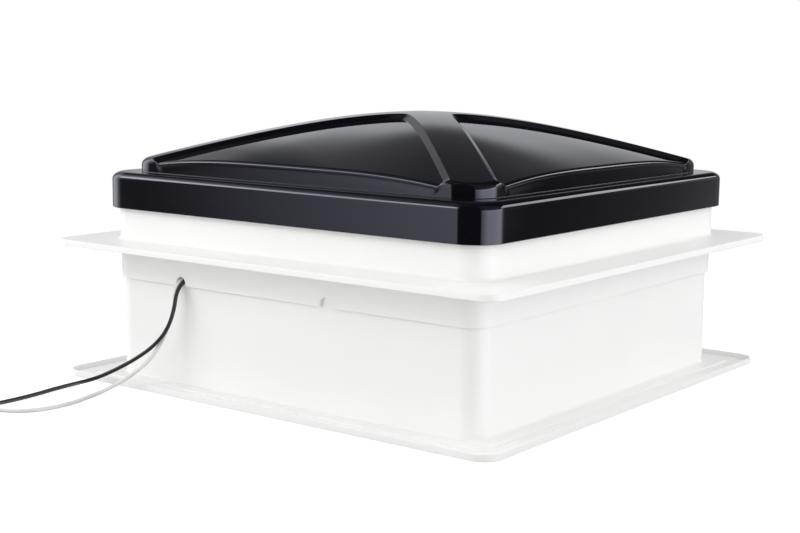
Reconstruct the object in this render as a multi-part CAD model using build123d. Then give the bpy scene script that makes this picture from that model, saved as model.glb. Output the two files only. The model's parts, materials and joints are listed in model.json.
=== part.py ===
from build123d import *
import math
import os

os.makedirs("parts", exist_ok=True)

# Caravan roof vent with a crank-up domed lid, a 12 V fan and a telescoping ceiling garnish.
# Millimetres. The origin is the centre of the ceiling garnish's underside, +Z is up towards the sky,
# -Y is the side where the supply wires leave and +Y is the hinge side.

# Driving dimensions of the square duct
cutout_side = 355.6
cutout_gap = 2.8
collar_wall = 2.2
collar_corner = 17.6
collar_depth = 25.6
neck_wall = 2.7
neck_height = 46.0
roof_seat_z = 104.0
roof_flange_thick = 5.0
roof_flange_width = 31.7
roof_flange_corner = 13.4
roof_edge_round = 1.0
neck_toe = 3.0
neck_lip_width = 4.8
neck_lip_thick = 2.5
fit_gap = 0.6
run_gap = 0.05
cut_over = 1.0

collar_half = cutout_side / 2 - cutout_gap
duct_half = collar_half - collar_wall
duct_corner = collar_corner - collar_wall
neck_half = duct_half + neck_wall
roof_flange_half = collar_half + roof_flange_width
flange_top_z = roof_seat_z + roof_flange_thick
collar_low_z = roof_seat_z - collar_depth
neck_top_z = flange_top_z + neck_height

# Two round-topped notches in the lower edge of the collar, on the -Y side
notch_radius = 4.6
notch_height = 7.0
wire_notch_x = -99.0
spare_notch_x = 44.0

# Ledge inside the neck that carries the fan shroud
ledge_width = 11.5
ledge_thick = 3.0
ledge_corner = 7.7
ledge_top_z = flange_top_z + ledge_thick
ledge_half = duct_half - ledge_width

# Neck seal
seal_height = 4.0
seal_width = 5.5
seal_round = 1.6
soft_gap = 0.3
seal_inset = 1.2

# Lid
lid_wall = 2.4
skirt_gap = 3.0
skirt_depth = 27.9
skirt_corner = 22.4
skirt_top_round = 6.0
lid_ledge_width = 15.9
rim_corner = 23.0
dome_rise = 47.9
dome_softness = 135.0
dome_slope_share = 0.305
dome_square_share = 3.64
band_half = 16.4
panel_recess = 4.0
dome_below = 80.0
surface_tolerance = 0.0225

seal_top_z = neck_top_z + seal_height
ledge_under_z = seal_top_z + soft_gap
lid_ledge_z = ledge_under_z + lid_wall
skirt_half = neck_half + skirt_gap + lid_wall
skirt_low_z = lid_ledge_z - skirt_depth
rim_half = skirt_half - lid_ledge_width
apex_z = lid_ledge_z + dome_rise

# Lid hinge at the back
hinge_offset = 8.1
hinge_lift = 1.2
hinge_spacing = 220.0
hinge_pin_radius = 3.0
knuckle_radius = 6.0
knuckle_length = 24.0
ear_thick = 7.0
hinge_side_gap = 0.3
hinge_web = 5.0
pin_head_radius = 4.5
pin_head_thick = 1.5
ear_rib_drop = 9.0

hinge_y = skirt_half + hinge_offset
hinge_z = skirt_low_z + hinge_lift

# Fan shroud and fan
shroud_thick = 3.0
fan_radius = 130.0
tip_gap = 3.5
ring_wall = 2.5
ring_above = 11.0
ring_below = 20.0
shroud_corner_round = 14.0
blade_count = 10
blade_chord = 46.0
blade_thick = 1.8
blade_root_pitch = 38.0
blade_tip_pitch = 24.0
blade_width_shares = (0.62, 0.9, 1.0)
hub_radius = 33.0
hub_wall = 2.2
hub_height = 22.0
hub_low_drop = 15.0
hub_core_radius = 8.0

shroud_top_z = ledge_top_z + shroud_thick
shroud_half = duct_half - fit_gap
ring_inner = fan_radius + tip_gap
ring_outer = ring_inner + ring_wall
ring_top_z = shroud_top_z + ring_above
ring_low_z = ledge_top_z - ring_below
hub_low_z = ledge_top_z - hub_low_drop
hub_top_z = hub_low_z + hub_height

# Motor and its bracket
bracket_post_place = 112.0
bracket_post_radius = 7.0
bracket_arm_width = 14.0
bracket_thick = 3.0
bracket_hub_radius = 37.0
bracket_eye = 9.0
motor_radius = 31.0
motor_wall = 1.8
motor_height = 30.0
motor_cap_thick = 3.0
magnet_thick = 5.0
magnet_arc = 130.0
magnet_height = 20.0
rotor_gap = 1.7
rotor_height = 18.0
rotor_slots = 8
rotor_slot_width = 3.0
rotor_slot_depth = 9.0
motor_shaft_radius = 3.0
shaft_below_hub = 9.0
nut_radius = 5.5
nut_height = 5.0

bracket_low_z = ring_top_z
bracket_top_z = bracket_low_z + bracket_thick
motor_top_z = bracket_top_z + motor_height
rotor_radius = motor_radius - motor_wall - magnet_thick - rotor_gap

# Lid lift: a crank-driven worm turns the arm, whose shoe slides in the lid rail.
# The arm is as long as the distance from its pivot to the hinge, so it turns twice the lid's angle.
link_length = 150.0
arm_width = 12.0
arm_thick = 3.0
arm_pin_radius = 2.5
arm_shaft_radius = 4.0
rail_depth = 10.0
rail_height = 14.0
rail_wall = 1.5
rail_lip = 2.5
rail_end_margin = 4.0
shoe_length = 16.0
shoe_gap = 0.2
rail_place = 135.0
rail_arm_gap = 1.5
arm_gear_gap = 1.5
rail_bracket_width = 14.0
rail_bracket_length = 20.0
rail_bracket_thick = 2.0
rail_bracket_inset = 20.0
rail_screw_radius = 1.5
rail_screw_length = 7.0
rail_screw_pitch = 12.0

arm_pivot_y = hinge_y - link_length
rail_z = hinge_z
rail_low_x = rail_place - rail_depth / 2
rail_high_x = rail_place + rail_depth / 2
arm_low_x = rail_high_x + rail_arm_gap
arm_high_x = arm_low_x + arm_thick
gear_low_x = arm_high_x + arm_gear_gap
shoe_rest_y = hinge_y - 2 * link_length
rail_front_y = shoe_rest_y - shoe_length / 2 - rail_end_margin
rail_back_y = arm_pivot_y + shoe_length / 2 + rail_end_margin
rail_top_z = rail_z + rail_height / 2

# Worm gearbox
wheel_teeth = 20
wheel_radius = 15.2
wheel_tooth_depth = 1.8
wheel_thick = 8.0
worm_radius = 4.6
worm_core_radius = 3.4
mesh_gap = 0.2
worm_height = 26.0
crank_radius = 2.5
gear_wall = 2.2
gear_inside = 11.0
gear_side_gap = 0.5
gear_cover_thick = 2.2
gear_round = 3.0
gear_foot_length = 9.0
gear_foot_thick = 3.0

worm_y = arm_pivot_y - wheel_radius - worm_radius - mesh_gap
gear_cavity_radius = wheel_radius + gear_side_gap
gear_inner_x = gear_low_x + gear_wall
gear_cover_x = gear_inner_x + gear_inside
gear_mid_x = gear_inner_x + gear_inside / 2
gear_low_z = shroud_top_z
gear_high_z = rail_z + gear_cavity_radius + gear_wall
gear_front_y = worm_y - worm_radius - gear_side_gap - gear_wall
gear_back_y = arm_pivot_y + gear_cavity_radius + gear_wall

# Ceiling-side controls
fascia_inner_x = 122.0
fascia_side_gap = 3.4
fascia_z = 80.0
fascia_thick = 2.5
fascia_round = 9.0
fascia_rim = 1.5
fascia_post_radius = 4.0
fascia_post_x = 130.0
fascia_post_y = 148.0
knob_gap = 2.0
crank_knob_radius = 13.5
crank_knob_height = 16.0
crank_knob_round = 2.5
knob_ribs = 18
knob_rib_radius = 1.1
speed_y = -62.0
speed_x = 146.0
speed_knob_radius = 11.0
speed_knob_height = 12.0
speed_shaft_radius = 3.0
switch_body = 24.0
switch_body_height = 13.0
rocker_y = -104.0
rocker_width = 13.0
rocker_length = 19.5
rocker_depth = 17.0
rocker_bezel = 2.0
rocker_bezel_width = 2.2
rocker_proud = 2.6
rocker_tilt_gap = 0.45
rocker_pivot_radius = 1.5

# Insect screen under the fan
screen_side_gap = 4.4
screen_gap_to_fascia = 4.0
screen_low_z = 80.0
screen_height = 6.0
screen_bar = 8.0
screen_rebate = 3.0
screen_round = 9.0
mesh_thick = 0.6
mesh_wire = 1.0
mesh_across = 14
mesh_along = 16
latch_inset = 10.0
latch_radius = 6.5
latch_head = 3.0
latch_grip = 2.2
latch_grip_width = 2.4
latch_stem_radius = 2.5
latch_depth = 9.0
screen_post_radius = 5.0

# Ceiling garnish
slide_gap = 0.4
sleeve_wall = 2.2
sleeve_top_z = 98.0
garnish_width = 30.3
garnish_corner = 15.0
garnish_lip_height = 5.2
garnish_lip_width = 1.2
garnish_thick = 1.2
plateau_thick = 2.2
plateau_width = 12.6
plateau_corner = 3.5
slot_width = 8.0
slot_low_z = 79.4

sleeve_half = duct_half - slide_gap
sleeve_corner = duct_corner - slide_gap
sleeve_inner = sleeve_half - sleeve_wall
garnish_half = sleeve_half + garnish_width

# Screws
screw_radius = 1.8
screw_head_radius = 3.6
screw_head_thick = 2.0
screw_length = 8.0
small_screw_radius = 1.2
small_head_radius = 2.4
small_head_thick = 1.4

# Supply wires and their clamp
wire_diameter = 3.0
wire_pitch = 3.4
clamp_width = 16.0
clamp_face_y = -160.5
clamp_face_z = 90.5
clamp_depth = 13.0
clamp_face = 6.0
clamp_tab = 9.0
exit_slope_share = 0.7
wire_end_radius = 0.9
wire_end_length = 7.0
wire_bend_share = 0.45

black_route = [
    (-97.3, -168.5, 84.9), (-97.2, -181.0, 76.9), (-96.6, -184.8, 60.5), (-101.0, -188.0, 46.0),
    (-110.6, -191.6, 33.8), (-124.5, -197.4, 22.6), (-141.0, -205.5, 12.2), (-155.5, -213.5, 4.6),
    (-165.0, -226.0, 1.6), (-163.4, -245.0, 1.6), (-160.0, -264.0, 1.6), (-158.4, -284.0, 1.6),
    (-158.6, -301.0, 1.6), (-164.0, -314.0, 1.6), (-175.0, -323.0, 1.6), (-190.0, -328.5, 1.6),
    (-205.5, -330.0, 1.6),
]
white_route = [
    (-100.7, -168.5, 84.9), (-100.7, -179.0, 78.2), (-100.8, -181.0, 62.0), (-104.6, -183.6, 47.0),
    (-109.2, -187.0, 34.0), (-112.2, -195.4, 23.0), (-117.0, -206.0, 14.2), (-124.2, -215.6, 6.6),
    (-129.2, -228.0, 1.6), (-124.0, -246.0, 1.6), (-119.0, -264.0, 1.6), (-118.4, -281.0, 1.6),
    (-121.4, -296.0, 1.6), (-130.0, -306.5, 1.6), (-143.0, -313.0, 1.6), (-157.0, -321.0, 1.6),
    (-170.0, -333.0, 1.6), (-186.0, -342.0, 1.6), (-203.5, -345.5, 1.6),
]


def block(half_x, half_y, low, high, corner, x=0, y=0):
    """Upright prism on a rounded rectangle."""
    outline = Pos(x, y, low) * RectangleRounded(2 * half_x, 2 * half_y, corner)
    return extrude(outline, amount=high - low)


def ring(outer, inner, low, high, outer_corner, inner_corner):
    """Square ring with rounded corners."""
    hole = block(inner, inner, low - cut_over, high + cut_over, inner_corner)
    return block(outer, outer, low, high, outer_corner) - hole


def rod(radius, low, high, x=0, y=0):
    """Upright round rod."""
    return Pos(x, y, (low + high) / 2) * Cylinder(radius, high - low)


def rod_x(radius, low, high, y, z):
    """Round rod along X."""
    return Pos((low + high) / 2, y, z) * Rot(0, 90, 0) * Cylinder(radius, high - low)


def slab(low_x, high_x, low_y, high_y, low_z, high_z):
    """Plain box between two corners."""
    middle = Pos((low_x + high_x) / 2, (low_y + high_y) / 2, (low_z + high_z) / 2)
    return middle * Box(high_x - low_x, high_y - low_y, high_z - low_z)


def together(pieces):
    """Pieces fused into one shape."""
    whole = pieces[0]
    for piece in pieces[1:]:
        whole = whole + piece
    return whole


def save(shape, node):
    """Write one node and print its volume."""
    solids = shape.solids()
    export_step(solids[0] if len(solids) == 1 else Compound(solids), "parts/" + node + ".step")
    print(node, len(solids), round(sum(s.volume for s in solids), 1))


def corners(place):
    """The four corners of a square pattern."""
    return [(sx * place, sy * place) for sx in (-1, 1) for sy in (-1, 1)]


# Base frame: roof flange, neck above it, collar below it, ledge inside and hinge ears behind
def base_frame():
    body = block(roof_flange_half, roof_flange_half, roof_seat_z, flange_top_z, roof_flange_corner)
    body = fillet(body.edges().group_by(Axis.Z)[-1], roof_edge_round)
    body += block(neck_half, neck_half, flange_top_z, neck_top_z, duct_corner + neck_wall)
    body += block(collar_half, collar_half, collar_low_z, roof_seat_z, collar_corner)
    toe = [e for e in body.edges() if abs(e.center().Z - flange_top_z) < neck_toe / 100
           and max(abs(e.center().X), abs(e.center().Y)) < neck_half + neck_toe / 100]
    body = fillet(toe, neck_toe)
    body -= block(duct_half, duct_half, collar_low_z - cut_over, neck_top_z + cut_over, duct_corner)
    body += ring(duct_half + cut_over, ledge_half, flange_top_z, ledge_top_z,
                 duct_corner, ledge_corner)
    body += ring(neck_half, neck_half - neck_lip_width, neck_top_z - neck_lip_thick, neck_top_z,
                 duct_corner + neck_wall, duct_corner + neck_wall - neck_lip_width)
    for x in (wire_notch_x, spare_notch_x):
        body -= collar_notch(x)
    for x in ear_centres():
        body += hinge_ear(x)
    body -= rod(crank_radius + fit_gap, flange_top_z - cut_over, ledge_top_z + cut_over, gear_mid_x, worm_y)
    for x, y in shroud_screw_places():
        body -= rod(screw_radius, flange_top_z - cut_over, ledge_top_z + cut_over, x, y)
    return body


def collar_notch(x):
    """Cutter for one notch: a round top over straight sides."""
    top_z = collar_low_z + notch_height - notch_radius
    middle_y = -collar_half + collar_wall / 2
    reach = collar_wall / 2 + cut_over
    cutter = Pos(x, middle_y, top_z) * Rot(90, 0, 0) * Cylinder(notch_radius, 2 * reach)
    return cutter + slab(x - notch_radius, x + notch_radius, middle_y - reach, middle_y + reach,
                         collar_low_z - cut_over, top_z)


def ear_centres():
    reach = knuckle_length / 2 + hinge_side_gap + ear_thick / 2
    return [side * hinge_spacing / 2 + end * reach for side in (-1, 1) for end in (-1, 1)]


def hinge_ear(x):
    """Upright ear with a round top and a rib back to the neck."""
    low_x, high_x = x - ear_thick / 2, x + ear_thick / 2
    post = slab(low_x, high_x, hinge_y - knuckle_radius, hinge_y + knuckle_radius, flange_top_z, hinge_z)
    post += rod_x(knuckle_radius, low_x, high_x, hinge_y, hinge_z)
    post += slab(low_x, high_x, neck_half - neck_wall / 2, hinge_y, flange_top_z, skirt_low_z - ear_rib_drop)
    return post - rod_x(hinge_pin_radius, low_x - cut_over, high_x + cut_over, hinge_y, hinge_z)


def shroud_screw_places():
    """Four screws near the corners of the ledge and one at the middle of three sides."""
    place = duct_half - ledge_width / 2
    near = place - duct_corner / 2
    return corners(near + duct_corner / 4) + [(-place, 0), (0, place), (0, -place)]


def hinge_pins():
    pins = []
    reach = knuckle_length / 2 + hinge_side_gap + ear_thick
    for side in (-1, 1):
        middle = side * hinge_spacing / 2
        pin = rod_x(hinge_pin_radius, middle - reach - pin_head_thick, middle + reach + pin_head_thick,
                    hinge_y, hinge_z)
        for end in (-1, 1):
            face = middle + end * reach
            low, high = sorted((face, face + end * pin_head_thick))
            pin += rod_x(pin_head_radius, low, high, hinge_y, hinge_z)
        pins.append(pin)
    return Compound(pins)


def neck_seal():
    outer = neck_half - seal_inset
    body = ring(outer, outer - seal_width, neck_top_z, seal_top_z,
                duct_corner + neck_wall - seal_inset, duct_corner + neck_wall - seal_inset - seal_width)
    return fillet(body.edges().group_by(Axis.Z)[-1], seal_round)


# Lid: a hollow cap with a skirt, a ledge, a rim and a dome of four bands and four sunk panels
def dome_height(x, y):
    """Height of the bands' surface over a point, a hyperbola over a rounded square."""
    power = dome_square_share
    spread = math.sqrt(2) / 2 ** (1 / power)
    reach = spread * (abs(x) ** power + abs(y) ** power) ** (1 / power)
    return apex_z - dome_slope_share * (math.hypot(reach, dome_softness) - dome_softness)


def dome_solid(rows=16):
    """All below the bands' surface, down to a parallel surface well inside the lid."""
    half = rim_half + lid_wall
    places = [half * (2 * i / rows - 1) for i in range(rows + 1)]
    grid = [[Vector(x, y, dome_height(x, y)) for x in places] for y in places]
    surface = Face.make_surface_from_array_of_points(grid, tol=surface_tolerance)
    return Solid.extrude(surface, Vector(0, 0, -dome_below))


def cross(half_width):
    """The two diagonal strips, as an upright prism."""
    reach = 2 * math.sqrt(2) * skirt_half
    low, high = skirt_low_z, apex_z + cut_over
    strips = [Rot(0, 0, turn) * slab(-reach, reach, -half_width, half_width, low, high)
              for turn in (45, -45)]
    return strips[0] + strips[1]


def lid():
    dome = dome_solid()
    sunk = Pos(0, 0, -panel_recess) * dome
    floor_z = ledge_under_z
    skirt = block(skirt_half, skirt_half, skirt_low_z, lid_ledge_z, skirt_corner)
    skirt = fillet(skirt.edges().group_by(Axis.Z)[-1], skirt_top_round)
    rim = block(rim_half, rim_half, floor_z, apex_z + cut_over, rim_corner)
    body = skirt + (rim & sunk) + (rim & cross(band_half) & dome)
    inside = block(rim_half - lid_wall, rim_half - lid_wall, floor_z - cut_over, apex_z,
                   rim_corner - lid_wall)
    hollow = inside & (Pos(0, 0, -panel_recess - lid_wall) * dome)
    hollow += inside & cross(band_half - lid_wall) & (Pos(0, 0, -lid_wall) * dome)
    for y in rail_bracket_places():
        hollow -= slab(rail_place - rail_bracket_width / 2, rail_place + rail_bracket_width / 2 - fit_gap,
                       y - rail_bracket_length / 2, y + rail_bracket_length / 2,
                       boss_low_z(), apex_z)
    body -= hollow
    inner = skirt_half - lid_wall
    under = block(inner, inner, skirt_low_z - cut_over, floor_z, skirt_corner - lid_wall)
    body -= fillet(under.edges().group_by(Axis.Z)[-1], skirt_top_round - lid_wall)
    for side in (-1, 1):
        body += lid_knuckle(side * hinge_spacing / 2)
    for x, y in rail_screw_places():
        body -= rod(rail_screw_radius, boss_low_z() - cut_over, boss_low_z() + rail_screw_length, x, y)
    return body


def lid_knuckle(x):
    """Barrel on the back of the skirt, with its web."""
    low_x, high_x = x - knuckle_length / 2, x + knuckle_length / 2
    barrel = rod_x(knuckle_radius, low_x, high_x, hinge_y, hinge_z)
    barrel += slab(low_x, high_x, skirt_half - lid_wall / 2, hinge_y, hinge_z, hinge_z + hinge_web)
    return barrel - rod_x(hinge_pin_radius + run_gap, low_x - cut_over, high_x + cut_over, hinge_y, hinge_z)


def rail_bracket_places():
    return [rail_front_y + rail_bracket_inset, rail_back_y - rail_bracket_inset]


def rail_screw_places():
    return [(rail_place, y + end * rail_screw_pitch / 2) for y in rail_bracket_places() for end in (-1, 1)]


def boss_low_z():
    """Underside of the bosses in the dome, level with the ledge."""
    return lid_ledge_z + lid_wall


def lid_rail():
    """Channel open towards the arm, with two lips."""
    low_z, high_z = rail_z - rail_height / 2, rail_top_z
    body = slab(rail_low_x, rail_high_x, rail_front_y, rail_back_y, low_z, high_z)
    body -= slab(rail_low_x + rail_wall, rail_high_x - rail_wall, rail_front_y - cut_over,
                 rail_back_y + cut_over, low_z + rail_wall, high_z - rail_wall)
    body -= slab(rail_high_x - rail_wall - cut_over, rail_high_x + cut_over, rail_front_y - cut_over,
                 rail_back_y + cut_over, low_z + rail_wall + rail_lip, high_z - rail_wall - rail_lip)
    return body


def rail_bracket(y):
    """Foot on the rail, web, and a flange under the boss."""
    half_l = rail_bracket_length / 2
    low_x, high_x = rail_low_x, rail_high_x
    thick = rail_bracket_thick
    top = boss_low_z()
    body = slab(low_x, high_x, y - half_l, y + half_l, rail_top_z, rail_top_z + thick)
    body += slab(low_x, high_x, y - thick / 2, y + thick / 2, rail_top_z, top)
    body += slab(low_x, high_x, y - half_l, y + half_l, top - thick, top)
    for x, screw_y in rail_screw_places():
        body -= rod(rail_screw_radius, top - thick - cut_over, top + cut_over, x, screw_y)
    return body


def screw(radius, head_radius, head_thick, head_z, tip_z, x, y):
    """Pan-head screw whose head starts at head_z and whose tip is at tip_z, up or down."""
    way = 1 if tip_z > head_z else -1
    low, high = sorted((head_z, head_z - way * head_thick))
    shank_low, shank_high = sorted((head_z, tip_z))
    return rod(head_radius, low, high, x, y) + rod(radius, shank_low, shank_high, x, y)


def rail_screws():
    head_z = boss_low_z() - rail_bracket_thick
    tip_z = boss_low_z() + rail_screw_length - cut_over
    return Compound([screw(rail_screw_radius, small_head_radius, small_head_thick, head_z, tip_z, x, y)
                     for x, y in rail_screw_places()])


# Fan shroud: a plate on the ledge with a round duct, posts for the motor bracket above it
# and posts for the screen and the fascia below it
def fan_shroud():
    body = block(shroud_half, shroud_half, ledge_top_z, shroud_top_z, shroud_corner_round)
    body += rod(ring_outer, ring_low_z, ring_top_z)
    for x, y in corners(bracket_post_place):
        body += rod(bracket_post_radius, shroud_top_z, ring_top_z, x, y)
    for x, y in screen_post_places():
        body += rod(screen_post_radius, screen_top_z(), ledge_top_z, x, y)
    for x, y in fascia_screw_places():
        body += rod(fascia_post_radius, fascia_top_z(), ledge_top_z, x, y)
    body -= rod(ring_inner, ring_low_z - cut_over, ring_top_z + cut_over)
    for x, y in shroud_screw_places():
        body -= rod(screw_radius, ledge_top_z - cut_over, shroud_top_z + cut_over, x, y)
    for x, y in corners(bracket_post_place):
        body -= rod(screw_radius, ring_top_z - screw_length, ring_top_z + cut_over, x, y)
    for x, y in screen_post_places():
        body -= rod(latch_stem_radius + run_gap, screen_top_z() - cut_over,
                    screen_low_z + latch_depth + screen_height, x, y)
    for x, y in fascia_screw_places():
        body -= rod(small_screw_radius, fascia_top_z() - cut_over, fascia_top_z() + screw_length, x, y)
    body -= rod(crank_radius + fit_gap, ledge_top_z - cut_over, shroud_top_z + cut_over, gear_mid_x, worm_y)
    for x, y in gear_foot_places():
        body -= rod(small_screw_radius, ledge_top_z - cut_over, shroud_top_z + cut_over, x, y)
    for x, y in clamp_screw_places():
        body -= rod(small_screw_radius, ledge_top_z - cut_over, shroud_top_z + cut_over, x, y)
    return body


def shroud_screws():
    return Compound([screw(screw_radius, screw_head_radius, screw_head_thick, shroud_top_z,
                           flange_top_z, x, y) for x, y in shroud_screw_places()])


def motor_bracket():
    """Four diagonal arms round an open hub."""
    reach = math.hypot(bracket_post_place, bracket_post_place)
    arms = [Rot(0, 0, turn) * slab(-reach, reach, -bracket_arm_width / 2, bracket_arm_width / 2,
                                   bracket_low_z, bracket_top_z) for turn in (45, -45)]
    body = arms[0] + arms[1] + rod(bracket_hub_radius, bracket_low_z, bracket_top_z)
    for x, y in corners(bracket_post_place):
        body += rod(bracket_arm_width / 2, bracket_low_z, bracket_top_z, x, y)
    body -= rod(bracket_eye, bracket_low_z - cut_over, bracket_top_z + cut_over)
    for x, y in corners(bracket_post_place):
        body -= rod(screw_radius, bracket_low_z - cut_over, bracket_top_z + cut_over, x, y)
    return body


def bracket_screws():
    tip_z = ring_top_z - screw_length + cut_over
    return Compound([screw(screw_radius, screw_head_radius, screw_head_thick, bracket_top_z, tip_z, x, y)
                     for x, y in corners(bracket_post_place)])


def motor_housing():
    """Deep-drawn can, closed at the top but for its bearing hole."""
    body = rod(motor_radius, bracket_top_z + motor_cap_thick, motor_top_z)
    body = fillet(body.edges().group_by(Axis.Z)[-1], motor_wall)
    body -= rod(motor_radius - motor_wall, bracket_top_z + motor_cap_thick - cut_over,
                motor_top_z - motor_wall)
    return body - rod(motor_shaft_radius + run_gap, motor_top_z - 2 * motor_wall, motor_top_z + cut_over)


def motor_end_cap():
    body = rod(motor_radius, bracket_top_z, bracket_top_z + motor_cap_thick)
    return body - rod(motor_shaft_radius + run_gap, bracket_top_z - cut_over,
                      bracket_top_z + motor_cap_thick + cut_over)


def magnet_low_z():
    return bracket_top_z + motor_cap_thick + (motor_height - motor_cap_thick - motor_wall - magnet_height) / 2


def motor_magnets():
    outer = motor_radius - motor_wall
    arcs = []
    for turn in (0, 180):
        tube = rod(outer, magnet_low_z(), magnet_low_z() + magnet_height)
        tube -= rod(outer - magnet_thick, magnet_low_z() - cut_over,
                    magnet_low_z() + magnet_height + cut_over)
        edge = math.tan(math.radians(magnet_arc / 2)) * 2 * outer
        wedge = Polyline((0, 0), (2 * outer, -edge), (2 * outer, edge), close=True)
        prism = extrude(Pos(0, 0, magnet_low_z()) * make_face(wedge), amount=magnet_height)
        arcs.append(tube & (Rot(0, 0, turn) * prism))
    return Compound([s for arc in arcs for s in arc.solids()])


def motor_rotor():
    """Slotted armature pressed on the shaft."""
    low = magnet_low_z() + (magnet_height - rotor_height) / 2
    body = rod(rotor_radius, low, low + rotor_height)
    for i in range(rotor_slots):
        slot = slab(rotor_radius - rotor_slot_depth, rotor_radius + cut_over, -rotor_slot_width / 2,
                    rotor_slot_width / 2, low - cut_over, low + rotor_height + cut_over)
        body -= Rot(0, 0, 360 * i / rotor_slots) * slot
    return body - rod(motor_shaft_radius, low - cut_over, low + rotor_height + cut_over)


def motor_shaft():
    return rod(motor_shaft_radius, hub_low_z - shaft_below_hub, motor_top_z)


def fan_blade(turn):
    """One blade, lofted from root to tip through sections that untwist outwards."""
    sections = []
    middle_z = (hub_low_z + hub_top_z) / 2
    root, tip = hub_radius - hub_wall / 2, fan_radius
    for step, share in enumerate(blade_width_shares):
        out = step / (len(blade_width_shares) - 1)
        radius = root + (tip - root) * out
        angle = math.radians(blade_root_pitch + (blade_tip_pitch - blade_root_pitch) * out)
        plane = Plane(origin=(radius, 0, middle_z), x_dir=(0, math.cos(angle), math.sin(angle)),
                      z_dir=(1, 0, 0))
        sections.append(plane * RectangleRounded(blade_chord * share, blade_thick, blade_thick / 3))
    return Rot(0, 0, turn) * loft(sections, ruled=True)


def fan_impeller():
    body = rod(hub_radius, hub_low_z, hub_top_z)
    body = fillet(body.edges().group_by(Axis.Z)[0], hub_wall)
    for i in range(blade_count):
        body += fan_blade(360 * i / blade_count)
    body -= rod(hub_radius - hub_wall, hub_low_z + hub_wall, hub_top_z + cut_over)
    body += rod(hub_core_radius, hub_low_z + hub_wall / 2, hub_top_z)
    body &= rod(fan_radius, ring_low_z, ring_top_z)
    return body - rod(motor_shaft_radius, hub_low_z - cut_over, hub_top_z + cut_over)


def impeller_nut():
    body = Pos(0, 0, hub_low_z - nut_height) * extrude(RegularPolygon(nut_radius, 6), amount=nut_height)
    return body - rod(motor_shaft_radius, hub_low_z - nut_height - cut_over, hub_low_z + cut_over)


# Worm gearbox on the shroud
def gear_plate(low_x, high_x):
    """The gearbox outline, between two places along X."""
    plane = Plane(origin=(low_x, (gear_front_y + gear_back_y) / 2, (gear_low_z + gear_high_z) / 2),
                  x_dir=(0, 1, 0), z_dir=(1, 0, 0))
    outline = RectangleRounded(gear_back_y - gear_front_y, gear_high_z - gear_low_z, gear_round)
    return extrude(plane * outline, amount=high_x - low_x)


def gear_housing():
    """Box open towards +X, with the wheel's and the worm's chambers."""
    body = gear_plate(gear_low_x, gear_cover_x)
    body += slab(gear_low_x, gear_cover_x, gear_front_y - gear_foot_length,
                 gear_back_y + gear_foot_length, gear_low_z, gear_low_z + gear_foot_thick)
    body -= rod_x(gear_cavity_radius, gear_inner_x, gear_cover_x + cut_over, arm_pivot_y, rail_z)
    worm_half = worm_radius + gear_side_gap
    body -= slab(gear_inner_x, gear_cover_x + cut_over, worm_y - worm_half, worm_y + worm_half,
                 worm_low_z() - gear_side_gap, worm_high_z() + gear_side_gap)
    body -= rod(crank_radius + run_gap, gear_low_z - cut_over, crank_top_z() + gear_side_gap,
                gear_mid_x, worm_y)
    body -= rod_x(arm_shaft_radius + run_gap, gear_low_x - cut_over, gear_inner_x + cut_over,
                  arm_pivot_y, rail_z)
    for y, z in gear_screw_places():
        body -= rod_x(small_screw_radius, gear_cover_x - screw_length, gear_cover_x + cut_over, y, z)
    for x, y in gear_foot_places():
        body -= rod(small_screw_radius, gear_low_z - cut_over,
                    gear_low_z + gear_foot_thick + cut_over, x, y)
    return body


def worm_low_z():
    return rail_z - worm_height / 2


def worm_high_z():
    return rail_z + worm_height / 2


def crank_top_z():
    return worm_high_z() + gear_wall


def gear_screw_places():
    """Corners of the cover, as y and z."""
    inset = small_head_radius + gear_side_gap
    return [(gear_back_y - inset, gear_low_z + gear_foot_thick + inset),
            (gear_back_y - inset, gear_high_z - inset)]


def gear_foot_places():
    reach = gear_foot_length / 2
    return [(gear_mid_x, gear_front_y - reach), (gear_mid_x, gear_back_y + reach)]


def gear_cover():
    face = gear_cover_x + gear_cover_thick
    body = gear_plate(gear_cover_x, face)
    body -= rod_x(arm_shaft_radius + run_gap, gear_cover_x - cut_over, face + cut_over,
                  arm_pivot_y, rail_z)
    for y, z in gear_screw_places():
        body -= rod_x(small_screw_radius, gear_cover_x - cut_over, face + cut_over, y, z)
    return body


def gear_screws():
    """Two screws through the cover and two through the feet."""
    screws = []
    face = gear_cover_x + gear_cover_thick
    for y, z in gear_screw_places():
        screws.append(rod_x(small_head_radius, face, face + small_head_thick, y, z)
                      + rod_x(small_screw_radius, gear_cover_x - screw_length + cut_over, face, y, z))
    for x, y in gear_foot_places():
        screws.append(screw(small_screw_radius, small_head_radius, small_head_thick,
                            gear_low_z + gear_foot_thick, ledge_top_z, x, y))
    return Compound(screws)


def crank_shaft():
    return rod(crank_radius, knob_low_z(), crank_top_z(), gear_mid_x, worm_y)


def knob_low_z():
    return fascia_z - knob_gap - crank_knob_height


def worm_gear():
    """Worm with its thread as a row of ridges."""
    pitch = 2 * math.pi * (wheel_radius - wheel_tooth_depth / 2) / wheel_teeth
    body = rod(worm_core_radius, worm_low_z(), worm_high_z(), gear_mid_x, worm_y)
    turns = int(worm_height / pitch)
    for i in range(turns):
        middle = worm_low_z() + (worm_height - (turns - 1) * pitch) / 2 + i * pitch
        for way, turn in ((-1, 180), (1, 0)):
            cone = Rot(turn, 0, 0) * Cone(worm_radius, worm_core_radius, pitch / 4)
            body += Pos(gear_mid_x, worm_y, middle + way * pitch / 8) * cone
    return body - rod(crank_radius, worm_low_z() - cut_over, worm_high_z() + cut_over,
                      gear_mid_x, worm_y)


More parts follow.
